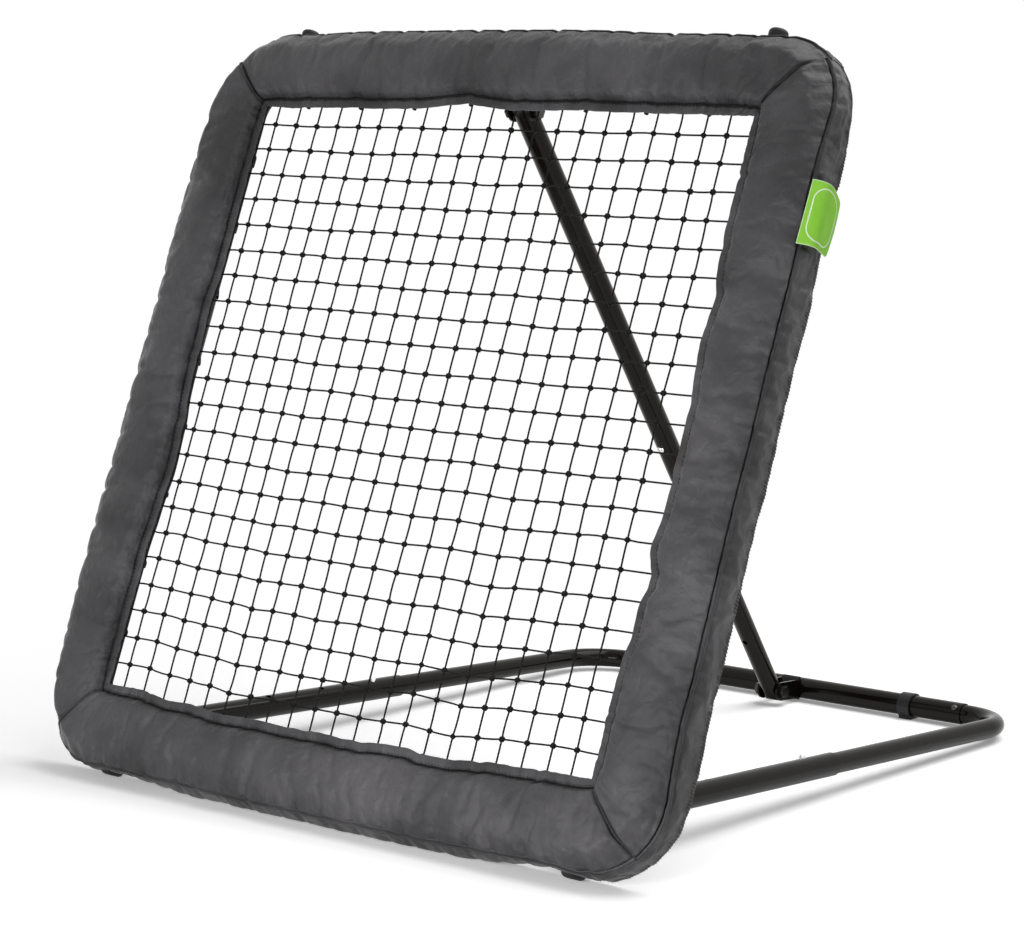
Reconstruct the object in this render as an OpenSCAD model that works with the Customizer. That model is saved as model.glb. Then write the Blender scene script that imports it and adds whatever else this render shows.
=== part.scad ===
// Pitch back rebounder: a leaning square net frame with four padded sides, two arms that
// run back over the ground to a cross tube, and a telescoping strut that sets the lean.
// Millimetres. +Z is up, the thrower stands at -Y, the origin is on the ground.

/* [Target frame] */
// Width and height of the square net opening
opening = 656; // [620:2:690]
// Lean of the frame back from upright, in degrees
lean = 21.6; // [20:0.1:23]
// Height of the opening's lower edge above the ground
opening_height = 97.7; // [97:0.1:106]
// Distance of the tube axes outside the opening's edge
tube_out = 39.8; // [38:0.1:41]
// Distance of the tube axes behind the opening
tube_back = 24; // [23.6:0.1:25]
// Radius of the corner bends along the tube axis
bend_r = 45; // [42:0.5:46]

/* [Tubes] */
// Outer diameter of the thick tube
tube_d = 25; // [24:0.1:25.4]
// Wall of every tube
tube_wall = 1; // [0.8:0.1:1.2]
// Gap all round between a thin tube and the thick tube that it slides in
tube_gap = 0.3; // [0.2:0.05:0.4]
// Length of the spigot that joins a corner bend to a straight tube
spigot = 32; // [20:1:40]

/* [Pads] */
// Width of one padded side, from the opening outwards
pad_w = 92; // [90:0.5:93]
// Corner radius of the padded square
pad_corner = 88; // [70:1:92]
// Depth from the opening's plane to the front of the pads
pad_front = 16.4; // [13:0.1:20]
// Depth of a pad's side panel behind the opening's plane
pad_side = 32; // [28:0.5:33]
// How far the side panel's rear edge draws in
pad_draw = 4; // [1:0.5:6]
// Width of the flat hem round the opening
pad_hem = 11; // [8:0.5:13]
// Half thickness of that hem
hem_t = 0.7; // [0.5:0.1:0.9]
// Space between the frame's tube and the foam beside it
foam_gap = 6.7; // [6:0.1:9]
// Space between the frame's tube and the foam in front of it
foam_lift = 2.3; // [1:0.1:4]
// Number of puckers along the outer seam of one pad
puckers = 14; // [8:1:16]
// Depth of one pucker
pucker_depth = 1.6; // [0.5:0.1:2.4]

/* [Net] */
// Number of meshes across the net
net_cells = 17; // [9:2:17]
// Thickness of a net strand
strand = 2.6; // [2:0.1:3.2]
// Distance of the net behind the opening's plane
net_back = 7; // [6.6:0.1:8]
// Radius of the cord around the net
cord_r = 3; // [2.2:0.1:3]
// Distance of that cord outside the opening's edge
cord_out = 8; // [7:0.1:9]
// Thickness of a tie that holds the net's cord to the frame
tie_t = 1.5; // [1:0.1:1.6]
// Width of a tie
tie_w = 3; // [2:0.1:5]

/* [Ground base] */
// Distance from the opening's lower edge back to the rear cross tube
base_depth = 807.2; // [780:0.2:830]
// Distance of each arm inside the frame's outer tube
arm_inset = 62.9; // [62:0.1:68]
// Thick part of an arm, from the frame's tube to the step
arm_end = 425; // [410:1:440]
// Place of the snap button along an arm
snap_at = 376; // [372:1:380]
// Distance between two adjusting holes of an arm
arm_pitch = 85.5; // [80:0.5:88]
// Turn of the arm's buttons and holes towards the middle, in degrees
snap_turn = 17; // [0:1:30]
// Bend radius of the rear corners along the tube axis
rear_bend_r = 62; // [50:1:64]
// Straight stretch of a rear leg between its bend and the cross tube
cross_gap = 4.9; // [3:0.1:18]
// Length of a rear leg inside the cross tube
rear_tuck = 50; // [30:1:60]
// Length of a rear leg inside the arm, ahead of the snap button
arm_tuck = 46; // [44:1:60]
// Distance from an end of the cross tube to its floor clip
clip_inset = 75.5; // [70:0.5:125]
// Distance from an arm's hinge bolt to the tube in front of it
hinge_reach = 30; // [29.5:0.1:33]

/* [Strut] */
// Height of the upper strut bolt above the opening's upper edge, along the frame
strut_top_v = 17.7; // [16:0.1:18]
// Distance of the upper strut bolt behind the opening
strut_top_w = 46.9; // [46:0.1:50]
// Distance of the lower strut bolt in front of the cross tube
strut_foot = 46; // [42:0.5:50]
// Place of the lock pin along the strut, from the lower bolt
lock_at = 384; // [376:1:390]
// Distance between two adjusting holes of the strut
strut_pitch = 74.25; // [70:0.25:76]
// Number of adjusting holes of the strut
strut_holes = 5; // [3:1:5]
// Lower end of the thick strut tube, from the lower bolt
mouth_at = 335; // [334:1:345]
// Upper end of the thin strut tube, from the lower bolt
thin_end = 444; // [430:1:450]
// Extra radius of the strut's upper bolt hole, for its change of path
path_play = 3.9; // [3.8:0.05:4.2]

/* [Fasteners and feet] */
// Diameter of the four pivot bolts
bolt_d = 8; // [7:0.5:8]
// Width of a bolt head across its flats
head_flats = 13; // [12:0.5:14]
// Thickness of bracket plates
plate = 2.5; // [2:0.1:3]
// Radius of a rubber foot
foot_r = 12.3; // [11:0.1:12.4]
// Distance of each foot and bumper inside the frame's outer tube
foot_inset = 52.5; // [50:0.1:64]
// Radius of a rubber bumper at the top
bumper_r = 10; // [9:0.1:11]
// Tip of a bumper, above the opening's upper edge
bumper_tip = 99; // [97:0.5:104]

/* [Label] */
// Height of the sewn label
label_h = 65; // [40:1:80]
// Lower edge of the label above the opening's lower edge
label_v = 525; // [300:1:530]
// Reach of the label behind the opening's plane
label_depth = 38; // [37:0.5:46]

/* [Hidden] */
$fn = 48;

BLACK = "#1c1c1f";
CLOTH = "#3a3a3d";
RUBBER = "#121214";
STEEL = "silver";

eps = 0.02;      // cut that runs past a face
fit = 0.05;      // gap all round a bolt, a plug or a spigot
side_gap = 0.5;  // gap between a pivoting tube and each bracket ear
face_gap = 0.3;  // gap between faces that turn against each other

tube_r = tube_d / 2;
bore_r = tube_r - tube_wall;
thin_r = bore_r - tube_gap;
thin_bore_r = thin_r - tube_wall;
bolt_r = bolt_d / 2;
plug_depth = 24;
ear_r = 11;
saddle_from = 5.5;  // a bracket's saddle starts this far past its tube's axis
post_gap = 0.4;     // gap all round a foot or a bumper where it passes the pad
half = opening / 2;
tube_half = half + tube_out;
straight_half = tube_half - bend_r;
arm_x = tube_half - arm_inset;
foot_x = tube_half - foot_inset;

// Pad cross-section, going round: distance out from the opening, distance back, pucker share
seam_t = pad_w - 2;
seam_w = 0.77 * pad_front;
foam_t = tube_out + tube_r + foam_gap;
foam_w = tube_back - tube_r - foam_lift;
side_foam = pad_w - foam_t;
function crown(across, height) = [pad_hem + across * (seam_t - pad_hem), -height * pad_front];
function side_panel(back, draw) = [pad_w - draw * pad_draw, back * (pad_side + seam_w) - seam_w];
PAD = [
    [0, -hem_t, 0],
    [pad_hem, -hem_t, 0],
    [each crown(0.025, 0.18), 0],
    [each crown(0.06, 0.55), 0],
    [each crown(0.13, 0.8), 0],
    [each crown(0.24, 0.93), 0],
    [each crown(0.44, 1), 0],
    [each crown(0.65, 0.98), 0],
    [each crown(0.82, 0.9), 0.3],
    [each crown(0.94, 0.84), 0.7],
    [each crown(1, 0.77), 1],
    [each side_panel(0.1, 0.2), 1],
    [each side_panel(0.28, 0), 0.6],
    [each side_panel(0.55, 0.1), 0.3],
    [each side_panel(0.8, 0.4), 0.5],
    [each side_panel(1, 1), 1],
    [pad_w - side_foam / 3, 1.04 * pad_side, 0],
    [foam_t + side_foam / 3, 0.94 * pad_side, 0],
    [foam_t + side_foam / 11, 0.62 * pad_side, 0],
    [foam_t, foam_w, 0],
    [foam_t / 2, 0.6 * foam_w, 0],
    [1.1 * pad_hem, 1.4 * hem_t, 0],
    [0, hem_t, 0]
];
stations = 3 * puckers;
pad_half = half + pad_w - pad_corner;                 // straight half of a pad's outer edge
pad_reach = pad_half + pad_corner * PI / 4;           // the same with its rounded end
fan_from = 0.8 * half;                                // sections fan out past this place
mitre_share = 0.9995;
mitre_dip = 2.4;

// Clip under the cross tube, which the rear stands on
clip_floor = 2.6;
clip_wall = 2.4;
clip_half = 8;
clip_tail = 16;
cross_z = tube_r + clip_floor;

// Places in the side view, each [y, z]
front_y = -sin(lean) * seam_t - cos(lean) * seam_w;
frame_y = -(front_y + base_depth + clip_tail) / 2;
function frame_pt(v, w) =
    [frame_y + sin(lean) * v + cos(lean) * w, opening_height + cos(lean) * v - sin(lean) * w];
low_tube = frame_pt(-tube_out, tube_back);
top_tube = frame_pt(opening + tube_out, tube_back);
cross = [frame_y + base_depth, cross_z];
strut_top = frame_pt(opening + strut_top_v, strut_top_w);
strut_low = [cross[0] - strut_foot, cross[1] + 2.7];
arm_len = norm(cross - low_tube);
cross_half = arm_x - rear_bend_r - cross_gap;
clip_x = cross_half - clip_inset;
strut_len = norm(strut_top - strut_low);

function aim(a, b) = atan2(a[0] - b[0], b[1] - a[1]);

// Snap button, in the frame of its own radial axis
snap_r = 3.9;
snap_flange_r = 5.5;
snap_seat = 8;
leaf = 0.8;
leaf_w = 8;

// Local Z runs from place a towards place b of the side view
module along(a, b) {
    translate([0, a[0], a[1]]) rotate([aim(a, b), 0, 0]) children();
}

// Local X runs across the frame, Y back through it and Z up along it
module in_frame() {
    translate([0, frame_y, opening_height]) rotate([-lean, 0, 0]) children();
}

// Side 0 is the top, 1 the right, 2 the bottom, 3 the left; local Z runs out from the opening
module on_side(side) {
    in_frame() translate([0, 0, half]) rotate([0, 90 * side, 0]) translate([0, 0, half]) children();
}

// A right-hand piece, or the same piece mirrored to the left
module handed(left) {
    if (left) mirror([1, 0, 0]) children();
    else children();
}

// Points a child's Z axis out of a tube's button side
module radial(turn = 0) {
    rotate([0, 0, -turn]) rotate([90, 0, 0]) children();
}

module ring(r_out, r_in, length) {
    difference() {
        cylinder(r = r_out, h = length);
        translate([0, 0, -eps]) cylinder(r = r_in, h = length + 2 * eps);
    }
}

// Quarter bend from +X round to +Z about the bend's centre
module quarter_bend(radius, r_out, r_in) {
    rotate([90, 0, 0]) rotate_extrude(angle = 90) translate([radius, 0]) difference() {
        circle(r = r_out);
        circle(r = r_in);
    }
}

// Keeps what lies within a nose of radius r about the cross bolt
module nosed(r, length) {
    intersection() {
        children();
        union() {
            rotate([0, 90, 0]) cylinder(r = r, h = 3 * r, center = true);
            translate([-1.5 * r, -1.5 * r, 0]) cube([3 * r, 3 * r, length + 1]);
        }
    }
}

module cross_hole(r) {
    rotate([0, 90, 0]) cylinder(r = r, h = 4 * tube_r, center = true);
}

// Tube from a cross bolt along Z, with a rounded nose and a bolt hole
module nosed_tube(r_out, r_in, length, hole_r) {
    difference() {
        nosed(r_out, length) translate([0, 0, -r_out]) ring(r_out, r_in, length + r_out);
        cross_hole(hole_r);
    }
}

// Plug that closes such a tube's nose
module nose_plug(nose_r, r_out, depth, hole_r) {
    difference() {
        nosed(nose_r, depth) translate([0, 0, -nose_r]) cylinder(r = r_out, h = depth + nose_r);
        cross_hole(hole_r);
    }
}

// U-bracket on a tube that lies along X, with its bolt hole out at Z = reach
module u_bracket(reach, gap_half) {
    ear_width = gap_half + plate;
    difference() {
        union() {
            for (x = [-ear_width, gap_half]) translate([x, 0, 0])
                rotate([90, 0, 90]) linear_extrude(plate) union() {
                    translate([0, reach]) circle(r = ear_r);
                    translate([-ear_r, 0]) square([2 * ear_r, reach]);
                }
            intersection() {
                rotate([0, 90, 0]) cylinder(r = tube_r + plate, h = 2 * gap_half + 1, center = true);
                translate([-ear_width, -2 * tube_r, saddle_from]) cube([2 * ear_width, 4 * tube_r, 2 * tube_r]);
            }
        }
        cross_hole_long(tube_r + eps);
        translate([0, 0, reach]) cross_hole_long(bolt_r + fit);
    }
}

module cross_hole_long(r) {
    rotate([0, 90, 0]) cylinder(r = r, h = 4 * tube_d, center = true);
}

// Hexagon head bolt along X: its head is at +X, outside the bracket's ear
module cross_bolt(gap_half) {
    grip = gap_half + plate + face_gap;
    rotate([0, 90, 0]) {
        translate([0, 0, -grip - 8.5]) cylinder(r = bolt_r, h = 2 * grip + 8.5 + 1);
        translate([0, 0, grip]) hexagon(5.3);
        translate([0, 0, grip + 5.3]) cylinder(r = 0.42 * head_flats, h = 0.5);
    }
}

module hexagon(h) {
    cylinder(r = head_flats / 2 / cos(30), h = h, $fn = 6);
}

module cross_nut(gap_half) {
    grip = gap_half + plate + face_gap;
    rotate([0, -90, 0]) translate([0, 0, grip]) difference() {
        hexagon(6.5);
        translate([0, 0, -eps]) cylinder(r = bolt_r + eps, h = 7);
    }
}

arm_gap_half = tube_r + side_gap;
strut_foot_gap_half = thin_r + side_gap;
screw_inset = 8;

// ---- target frame ----

module tube_straight(side) {
    color(BLACK) on_side(side) translate([-straight_half, tube_back, tube_out])
        rotate([0, 90, 0]) ring(tube_r, bore_r, 2 * straight_half);
}

module bend(side) {
    spigot_r = bore_r - fit;
    color(BLACK) on_side(side) translate([straight_half, tube_back, tube_out - bend_r]) {
        quarter_bend(bend_r, tube_r, bore_r - tube_wall);
        translate([eps, 0, bend_r]) rotate([0, -90, 0]) ring(spigot_r, bore_r - tube_wall, spigot);
        translate([bend_r, 0, eps - spigot]) ring(spigot_r, bore_r - tube_wall, spigot);
    }
}

// Places on a pad: along its outer edge by length, and the same station's inner edge
function pad_outer(s) = abs(s) <= pad_half ? [s, pad_w] :
    let (a = (abs(s) - pad_half) / pad_corner * 180 / PI)
    [sign(s) * (pad_half + pad_corner * sin(a)), pad_w - pad_corner * (1 - cos(a))];
function pad_inner(s) = abs(s) <= fan_from ? s :
    sign(s) * (fan_from + (abs(s) - fan_from) * (half - fan_from) / (pad_reach - fan_from));
function pad_point(i, p) =
    let (s = pad_reach * (2 * i / stations - 1), out = pad_outer(s), in = pad_inner(s),
         pucker = i % 3 == 0 ? pucker_depth * p[2] : 0,
         dip = (i == 0 || i == stations) && p[1] < -2 ? mitre_dip : 0,
         share = (p[0] - pucker) / pad_w)
    [(in + (out[0] - in) * share) * mitre_share, p[1] + dip, out[1] * share];

module pad_solid() {
    n = len(PAD);
    points = [for (i = [0:stations], p = PAD) pad_point(i, p)];
    sides = [for (i = [0:stations - 1], j = [0:n - 1])
        let (k = (j + 1) % n)
        each [[i * n + j, i * n + k, (i + 1) * n + k], [i * n + j, (i + 1) * n + k, (i + 1) * n + j]]];
    start = [for (j = [n - 1:-1:0]) j];
    end = [for (j = [0:n - 1]) stations * n + j];
    polyhedron(points, concat(sides, [start], [end]));
}

// Pad with holes for the feet or the bumpers that stand on its tube. A resize by zeros keeps
// the size and makes the cut pad one mesh of triangles, as the pads without holes are.
module pad(side, post_r = 0) {
    sides = 12;
    color(CLOTH) on_side(side) resize([0, 0, 0]) difference() {
        pad_solid();
        if (post_r > 0) for (x = [-foot_x, foot_x]) translate([x, tube_back, tube_out])
            cylinder(r = (post_r + post_gap) / cos(180 / sides), h = pad_w, $fn = sides);
    }
}

net_end = half + cord_out - cord_r - fit;
mesh_size = opening / net_cells;

module net() {
    color("#2b2b2d") in_frame() translate([0, net_back, half]) rotate([90, 0, 0])
        linear_extrude(strand, center = true)
            for (k = [1:net_cells - 1], turn = [0, 90]) rotate(turn)
                translate([k * mesh_size - half, 0]) square([strand, 2 * net_end], center = true);
}

module net_cord() {
    corner = 4 * cord_r;
    run = half + cord_out - corner;
    color(BLACK) for (side = [0:3]) on_side(side) translate([0, net_back, cord_out]) {
        translate([-run, 0, 0]) rotate([0, 90, 0]) cylinder(r = cord_r, h = 2 * run);
        translate([run, 0, -corner]) rotate([90, 0, 0]) rotate_extrude(angle = 90)
            translate([corner, 0]) circle(r = cord_r);
    }
}

// Points of an arc whose chords stay outside its radius
function arc(middle, r, from, to, count) =
    let (step = (to - from) / count)
    [for (k = [0:count]) middle + r / cos(step / 2) * [cos(from + k * step), sin(from + k * step)]];

// Outline round the net's cord and the tube, both enlarged by grow, in the side view [out, back]
function tie_outline(grow) =
    let (a = [cord_out, net_back], b = [tube_out, tube_back],
         way = atan2(b[1] - a[1], b[0] - a[0]),
         flare = 90 + asin((tube_r - cord_r) / norm(b - a)))
    concat(arc(a, cord_r + grow, way + flare, way + 360 - flare, 5),
           arc(b, tube_r + grow, way - flare, way + flare, 9));

module ties(side) {
    count = floor((net_cells - 3) / 4);
    color(BLACK) on_side(side) for (k = [0:count], way = [-1, 1])
        translate([way * (2 * k + 1) * mesh_size, 0, 0]) rotate([0, -90, 0])
            linear_extrude(tie_w, center = true) difference() {
                polygon(tie_outline(0.1 + tie_t));
                polygon(tie_outline(0.1));
            }
}

module label() {
    outer = [[pad_w - 1, -12.6], [pad_w + 0.5, -7], [pad_w + 1.4, 0], [pad_w + 1, 12],
        [pad_w - 0.2, 0.6 * label_depth], [pad_w - 2.4, 0.84 * label_depth], [pad_w - 3, label_depth]];
    inner = [for (i = [len(outer) - 1:-1:0]) outer[i] - [0.9, 0]];
    color("#9bc53d") in_frame() translate([half, 0, label_v]) linear_extrude(label_h)
        polygon(concat(outer, inner));
}

// ---- feet and bumpers, in the frame of a side: Z runs outwards ----

// Rubber cup with a rounded end at Z = tip
module rubber_cup(r, post_r, tip, edge) {
    length = 29.5;
    translate([0, tube_back, tip - length]) difference() {
        rotate_extrude() union() {
            square([r, length - edge]);
            square([r - edge, length]);
            translate([r - edge, length - edge]) circle(r = edge);
        }
        translate([0, 0, -eps]) cylinder(r = post_r + fit, h = 20);
    }
}

module post(post_r, tip) {
    difference() {
        translate([0, tube_back, tube_out]) cylinder(r = post_r, h = tip - tube_out - 9.6);
        translate([0, tube_back, tube_out]) rotate([0, 90, 0])
            cylinder(r = tube_r + eps, h = 3 * tube_r, center = true);
    }
}

foot_edge = 6;
foot_flat = 0.6;  // depth worn off the lowest edge, so that the foot stands flat
bumper_edge = 4.5;
foot_post_r = 8;
bumper_post_r = 6;
foot_tip = foot_edge + (opening_height - foot_edge + foot_flat
    - sin(lean) * (tube_back + foot_r - foot_edge)) / cos(lean);

module foot(left) {
    color(RUBBER) handed(left) difference() {
        on_side(2) translate([-foot_x, 0, 0]) rubber_cup(foot_r, foot_post_r, foot_tip, foot_edge);
        translate([0, low_tube[0] - half, -foot_edge]) cube([opening, opening, foot_edge]);
    }
}

module foot_posts() {
    color(BLACK) for (x = [-foot_x, foot_x]) on_side(2) translate([x, 0, 0]) post(foot_post_r, foot_tip);
}

module bumper(left) {
    color(RUBBER) handed(left) on_side(0) translate([foot_x, 0, 0])
        rubber_cup(bumper_r, bumper_post_r, bumper_tip, bumper_edge);
}

module bumper_posts() {
    color(BLACK) for (x = [-foot_x, foot_x]) on_side(0) translate([x, 0, 0])
        post(bumper_post_r, bumper_tip);
}

// ---- brackets and bolts ----

module at_hinge(left) {
    handed(left) along(low_tube, cross) translate([arm_x, 0, 0]) children();
}

module hinge_bracket(left) {
    color(BLACK) at_hinge(left) u_bracket(hinge_reach, arm_gap_half);
}

module hinge_bolt(left) {
    color(STEEL) at_hinge(left) translate([0, 0, hinge_reach]) cross_bolt(arm_gap_half);
}

module hinge_nuts() {
    color(STEEL) for (left = [true, false])
        at_hinge(left) translate([0, 0, hinge_reach]) cross_nut(arm_gap_half);
}

module strut_bracket() {
    color(BLACK) along(top_tube, strut_top) u_bracket(norm(strut_top - top_tube), arm_gap_half);
}

module strut_top_bolt() {
    color(STEEL) along(strut_top, strut_low) cross_bolt(arm_gap_half);
}

module strut_top_nut() {
    color(STEEL) along(strut_top, strut_low) cross_nut(arm_gap_half);
}

module rear_bracket() {
    color(BLACK) along(cross, strut_low) u_bracket(norm(strut_low - cross), strut_foot_gap_half);
}

module rear_bolt() {
    color(STEEL) along(strut_low, strut_top) cross_bolt(strut_foot_gap_half);
}

module rear_nut() {
    color(STEEL) along(strut_low, strut_top) cross_nut(strut_foot_gap_half);
}

// ---- ground base ----

module arm(left) {
    color(BLACK) at_hinge(left) difference() {
        translate([0, 0, hinge_reach])
            nosed_tube(tube_r, bore_r, arm_end - hinge_reach, bolt_r + fit);
        for (k = [0:2]) translate([0, 0, snap_at - k * arm_pitch])
            radial(snap_turn) cylinder(r = k == 0 ? snap_r + 0.2 : 3.4, h = tube_d);
    }
}

module arm_plug(left) {
    color(RUBBER) at_hinge(left) translate([0, 0, hinge_reach])
        nose_plug(tube_r, bore_r - fit, 20, bolt_r + fit);
}

module rear_leg(left) {
    start = snap_at - arm_tuck;
    straight = arm_len - rear_bend_r;
    color(BLACK) handed(left) along(low_tube, cross) difference() {
        union() {
            translate([arm_x, 0, start]) ring(thin_r, thin_bore_r, straight - start);
            translate([arm_x - rear_bend_r, 0, straight]) quarter_bend(rear_bend_r, thin_r, thin_bore_r);
            translate([cross_half - rear_tuck, 0, arm_len]) rotate([0, 90, 0])
                ring(thin_r, thin_bore_r, cross_gap + rear_tuck);
        }
        translate([arm_x, 0, snap_at]) radial(snap_turn) cylinder(r = snap_r + 0.2, h = tube_d);
    }
}

module at_snap(left) {
    handed(left) along(low_tube, cross) translate([arm_x, 0, snap_at]) radial(snap_turn) children();
}

module snap_button(left) {
    dome_r = 5.3;
    color(STEEL) at_snap(left) union() {
        intersection() {
            translate([0, 0, snap_seat - eps]) cylinder(r = snap_r, h = tube_r);
            translate([0, 0, tube_r - 1.5]) sphere(r = dome_r);
        }
        translate([0, 0, snap_seat - 1]) cylinder(r = snap_flange_r, h = 1);
    }
}

// Hairpin leaf spring under the snap button, closed at its far end
module snap_spring(left) {
    low = leaf - sqrt(pow(thin_bore_r - 0.2, 2) - pow(leaf_w / 2, 2));
    high = snap_seat - 1.4;
    middle = (low + high) / 2 - leaf / 2;
    loop_r = (high - low) / 2 + leaf / 2;
    far = 34;
    color(STEEL) at_snap(left) rotate([90, 0, 90]) linear_extrude(leaf_w, center = true) union() {
        translate([-12, low - leaf]) square([far + 12, leaf]);
        translate([snap_flange_r + 0.7, high - leaf]) square([far - snap_flange_r - 0.7, leaf]);
        translate([far, middle]) intersection() {
            difference() {
                circle(r = loop_r);
                circle(r = loop_r - leaf);
            }
            translate([-eps, -loop_r]) square([loop_r + 1, 2 * loop_r]);
        }
    }
}

module cross_tube() {
    color(BLACK) difference() {
        translate([-cross_half, cross[0], cross[1]]) rotate([0, 90, 0])
            ring(tube_r, bore_r, 2 * cross_half);
        at_cross_screws() cylinder(r = 1.9, h = tube_d);
    }
}

module at_cross_screws() {
    for (x = [-1, 1]) translate([x * (cross_half - screw_inset), cross[0], cross[1]])
        rotate([50, 0, 0]) children();
}

module cross_screws() {
    color(STEEL) at_cross_screws() {
        translate([0, 0, thin_r + 0.1]) cylinder(r = 1.8, h = tube_r - thin_r);
        translate([0, 0, tube_r + 0.1]) intersection() {
            cylinder(r = 3.6, h = 2.4);
            translate([0, 0, -2.5]) sphere(r = 4.9);
        }
    }
}

module floor_clip(left) {
    color(RUBBER) handed(left) translate([clip_x, cross[0], 0]) rotate([90, 0, 90])
        linear_extrude(2 * clip_half, center = true) difference() {
            union() {
                translate([0, cross[1]]) circle(r = tube_r + clip_wall);
                translate([-9, 0]) square([18, 8]);
                square([clip_tail, 2.5]);
            }
            translate([0, cross[1]]) circle(r = tube_r + fit);
        }
}

// ---- strut ----

module strut_lower() {
    color(BLACK) along(strut_low, strut_top) difference() {
        nosed_tube(thin_r, thin_bore_r, thin_end, bolt_r + fit);
        for (k = [0:strut_holes - 1]) translate([0, 0, lock_at - k * strut_pitch])
            radial() cylinder(r = 3.2, h = tube_d);
    }
}

module strut_foot_plug() {
    color(RUBBER) along(strut_low, strut_top) nose_plug(thin_r, thin_bore_r - fit, 20, bolt_r + fit);
}

module strut_upper() {
    color(BLACK) along(strut_low, strut_top) difference() {
        translate([0, 0, strut_len]) mirror([0, 0, 1])
            nosed_tube(tube_r, bore_r, strut_len - mouth_at, bolt_r + path_play);
        translate([0, 0, lock_at]) radial() cylinder(r = 3.1, h = tube_d);
    }
}

module strut_top_plug() {
    color(RUBBER) along(strut_top, strut_low) nose_plug(tube_r, bore_r - fit, plug_depth, bolt_r + path_play);
}

// Domed pull pin: its nose stops just above the thin tube
module lock_pin() {
    color(STEEL) along(strut_low, strut_top) translate([0, 0, lock_at]) radial() union() {
        translate([0, 0, thin_r + face_gap]) cylinder(r = 3, h = tube_r - thin_r);
        translate([0, 0, tube_r + 0.1]) intersection() {
            cylinder(r = 4.4, h = 4.2);
            translate([0, 0, -1]) sphere(r = 5.2);
        }
    }
}

tube_straight(0);  // tube_top
tube_straight(1);  // tube_right
tube_straight(2);  // tube_bottom
tube_straight(3);  // tube_left
bend(0);  // bend_top_right
bend(1);  // bend_bottom_right
bend(2);  // bend_bottom_left
bend(3);  // bend_top_left
pad(0, bumper_r);  // pad_top
pad(1);  // pad_right
pad(2, foot_r);  // pad_bottom
pad(3);  // pad_left
net();
net_cord();
ties(0);  // ties_top
ties(1);  // ties_right
ties(2);  // ties_bottom
ties(3);  // ties_left
label();
foot(true);  // foot_left
foot(false);  // foot_right
foot_posts();
bumper(true);  // bumper_left
bumper(false);  // bumper_right
bumper_posts();
hinge_bracket(true);  // hinge_bracket_left
hinge_bracket(false);  // hinge_bracket_right
strut_bracket();
strut_top_bolt();
strut_top_nut();
arm(true);  // arm_left
arm(false);  // arm_right
arm_plug(true);  // arm_plug_left
arm_plug(false);  // arm_plug_right
hinge_bolt(true);  // hinge_bolt_left
hinge_bolt(false);  // hinge_bolt_right
hinge_nuts();
rear_leg(true);  // rear_leg_left
rear_leg(false);  // rear_leg_right
snap_spring(true);  // snap_spring_left
snap_spring(false);  // snap_spring_right
snap_button(true);  // snap_button_left
snap_button(false);  // snap_button_right
cross_tube();
cross_screws();
floor_clip(true);  // floor_clip_left
floor_clip(false);  // floor_clip_right
rear_bracket();
rear_bolt();
rear_nut();
strut_lower();
strut_foot_plug();
strut_upper();
strut_top_plug();
lock_pin();
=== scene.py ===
# %% [markdown]
# # Pitch back rebounder
#
# A leaning square net sits between four padded sides. Two arms run back over the ground to a
# cross tube, and a telescoping strut holds the lean. The construction comes packed, with every
# tube, bolt and bracket in its place. This lesson dresses it: the padding, net, twine, hem,
# seams, label and ties are modelled here, and each finish is built from shader nodes.
#
# The first cell loads the construction. Its box is kept, because the dressed model has to stay
# close to that size.

import math

import bmesh
import bpy
import numpy as np
from mathutils import Matrix, Vector, noise


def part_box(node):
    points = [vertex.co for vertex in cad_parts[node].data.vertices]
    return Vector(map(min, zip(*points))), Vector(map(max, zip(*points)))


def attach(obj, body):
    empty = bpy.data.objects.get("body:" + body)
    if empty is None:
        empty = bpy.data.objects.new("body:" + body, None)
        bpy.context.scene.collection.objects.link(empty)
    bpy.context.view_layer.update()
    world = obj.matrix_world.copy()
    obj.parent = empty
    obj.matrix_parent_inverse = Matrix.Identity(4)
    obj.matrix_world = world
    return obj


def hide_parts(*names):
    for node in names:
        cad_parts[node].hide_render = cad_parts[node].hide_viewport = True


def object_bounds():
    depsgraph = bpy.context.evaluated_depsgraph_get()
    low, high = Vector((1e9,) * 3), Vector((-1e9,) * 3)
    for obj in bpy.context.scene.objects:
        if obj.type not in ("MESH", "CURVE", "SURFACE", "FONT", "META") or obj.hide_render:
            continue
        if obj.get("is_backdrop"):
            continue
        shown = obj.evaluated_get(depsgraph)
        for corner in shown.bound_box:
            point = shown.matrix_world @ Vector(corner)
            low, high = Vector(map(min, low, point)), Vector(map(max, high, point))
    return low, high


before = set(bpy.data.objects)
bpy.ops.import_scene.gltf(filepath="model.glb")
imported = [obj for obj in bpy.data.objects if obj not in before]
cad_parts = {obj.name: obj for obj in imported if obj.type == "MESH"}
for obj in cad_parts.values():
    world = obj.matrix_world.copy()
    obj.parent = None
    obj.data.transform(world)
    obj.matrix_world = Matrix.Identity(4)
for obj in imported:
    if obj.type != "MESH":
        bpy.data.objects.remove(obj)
cad_low, cad_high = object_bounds()
MM = 0.001
print("construction, size in mm:", [round(x / MM) for x in cad_high - cad_low])

# %% [markdown]
# ## Places on the leaning frame
#
# Everything soft lies on one leaning square. A place on it has three simple numbers: how far
# along a side, how far out from the opening, and how far back. The sides go round from the top
# to the right, the bottom and the left, so one function serves all four.

# %% Places on a side of the square
LEAN = math.radians(21.6)
OPENING = 656 * MM
HALF = OPENING / 2
NET_BACK = 7 * MM
ACROSS = np.array((1, 0, 0))
UPWARD = np.array((0, math.sin(LEAN), math.cos(LEAN)))
BACKWARD = np.array((0, math.cos(LEAN), -math.sin(LEAN)))
SIDES = ["top", "right", "bottom", "left"]

net_low, net_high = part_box("net")
CENTRE = np.array((net_low + net_high) / 2) - NET_BACK * BACKWARD


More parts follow.
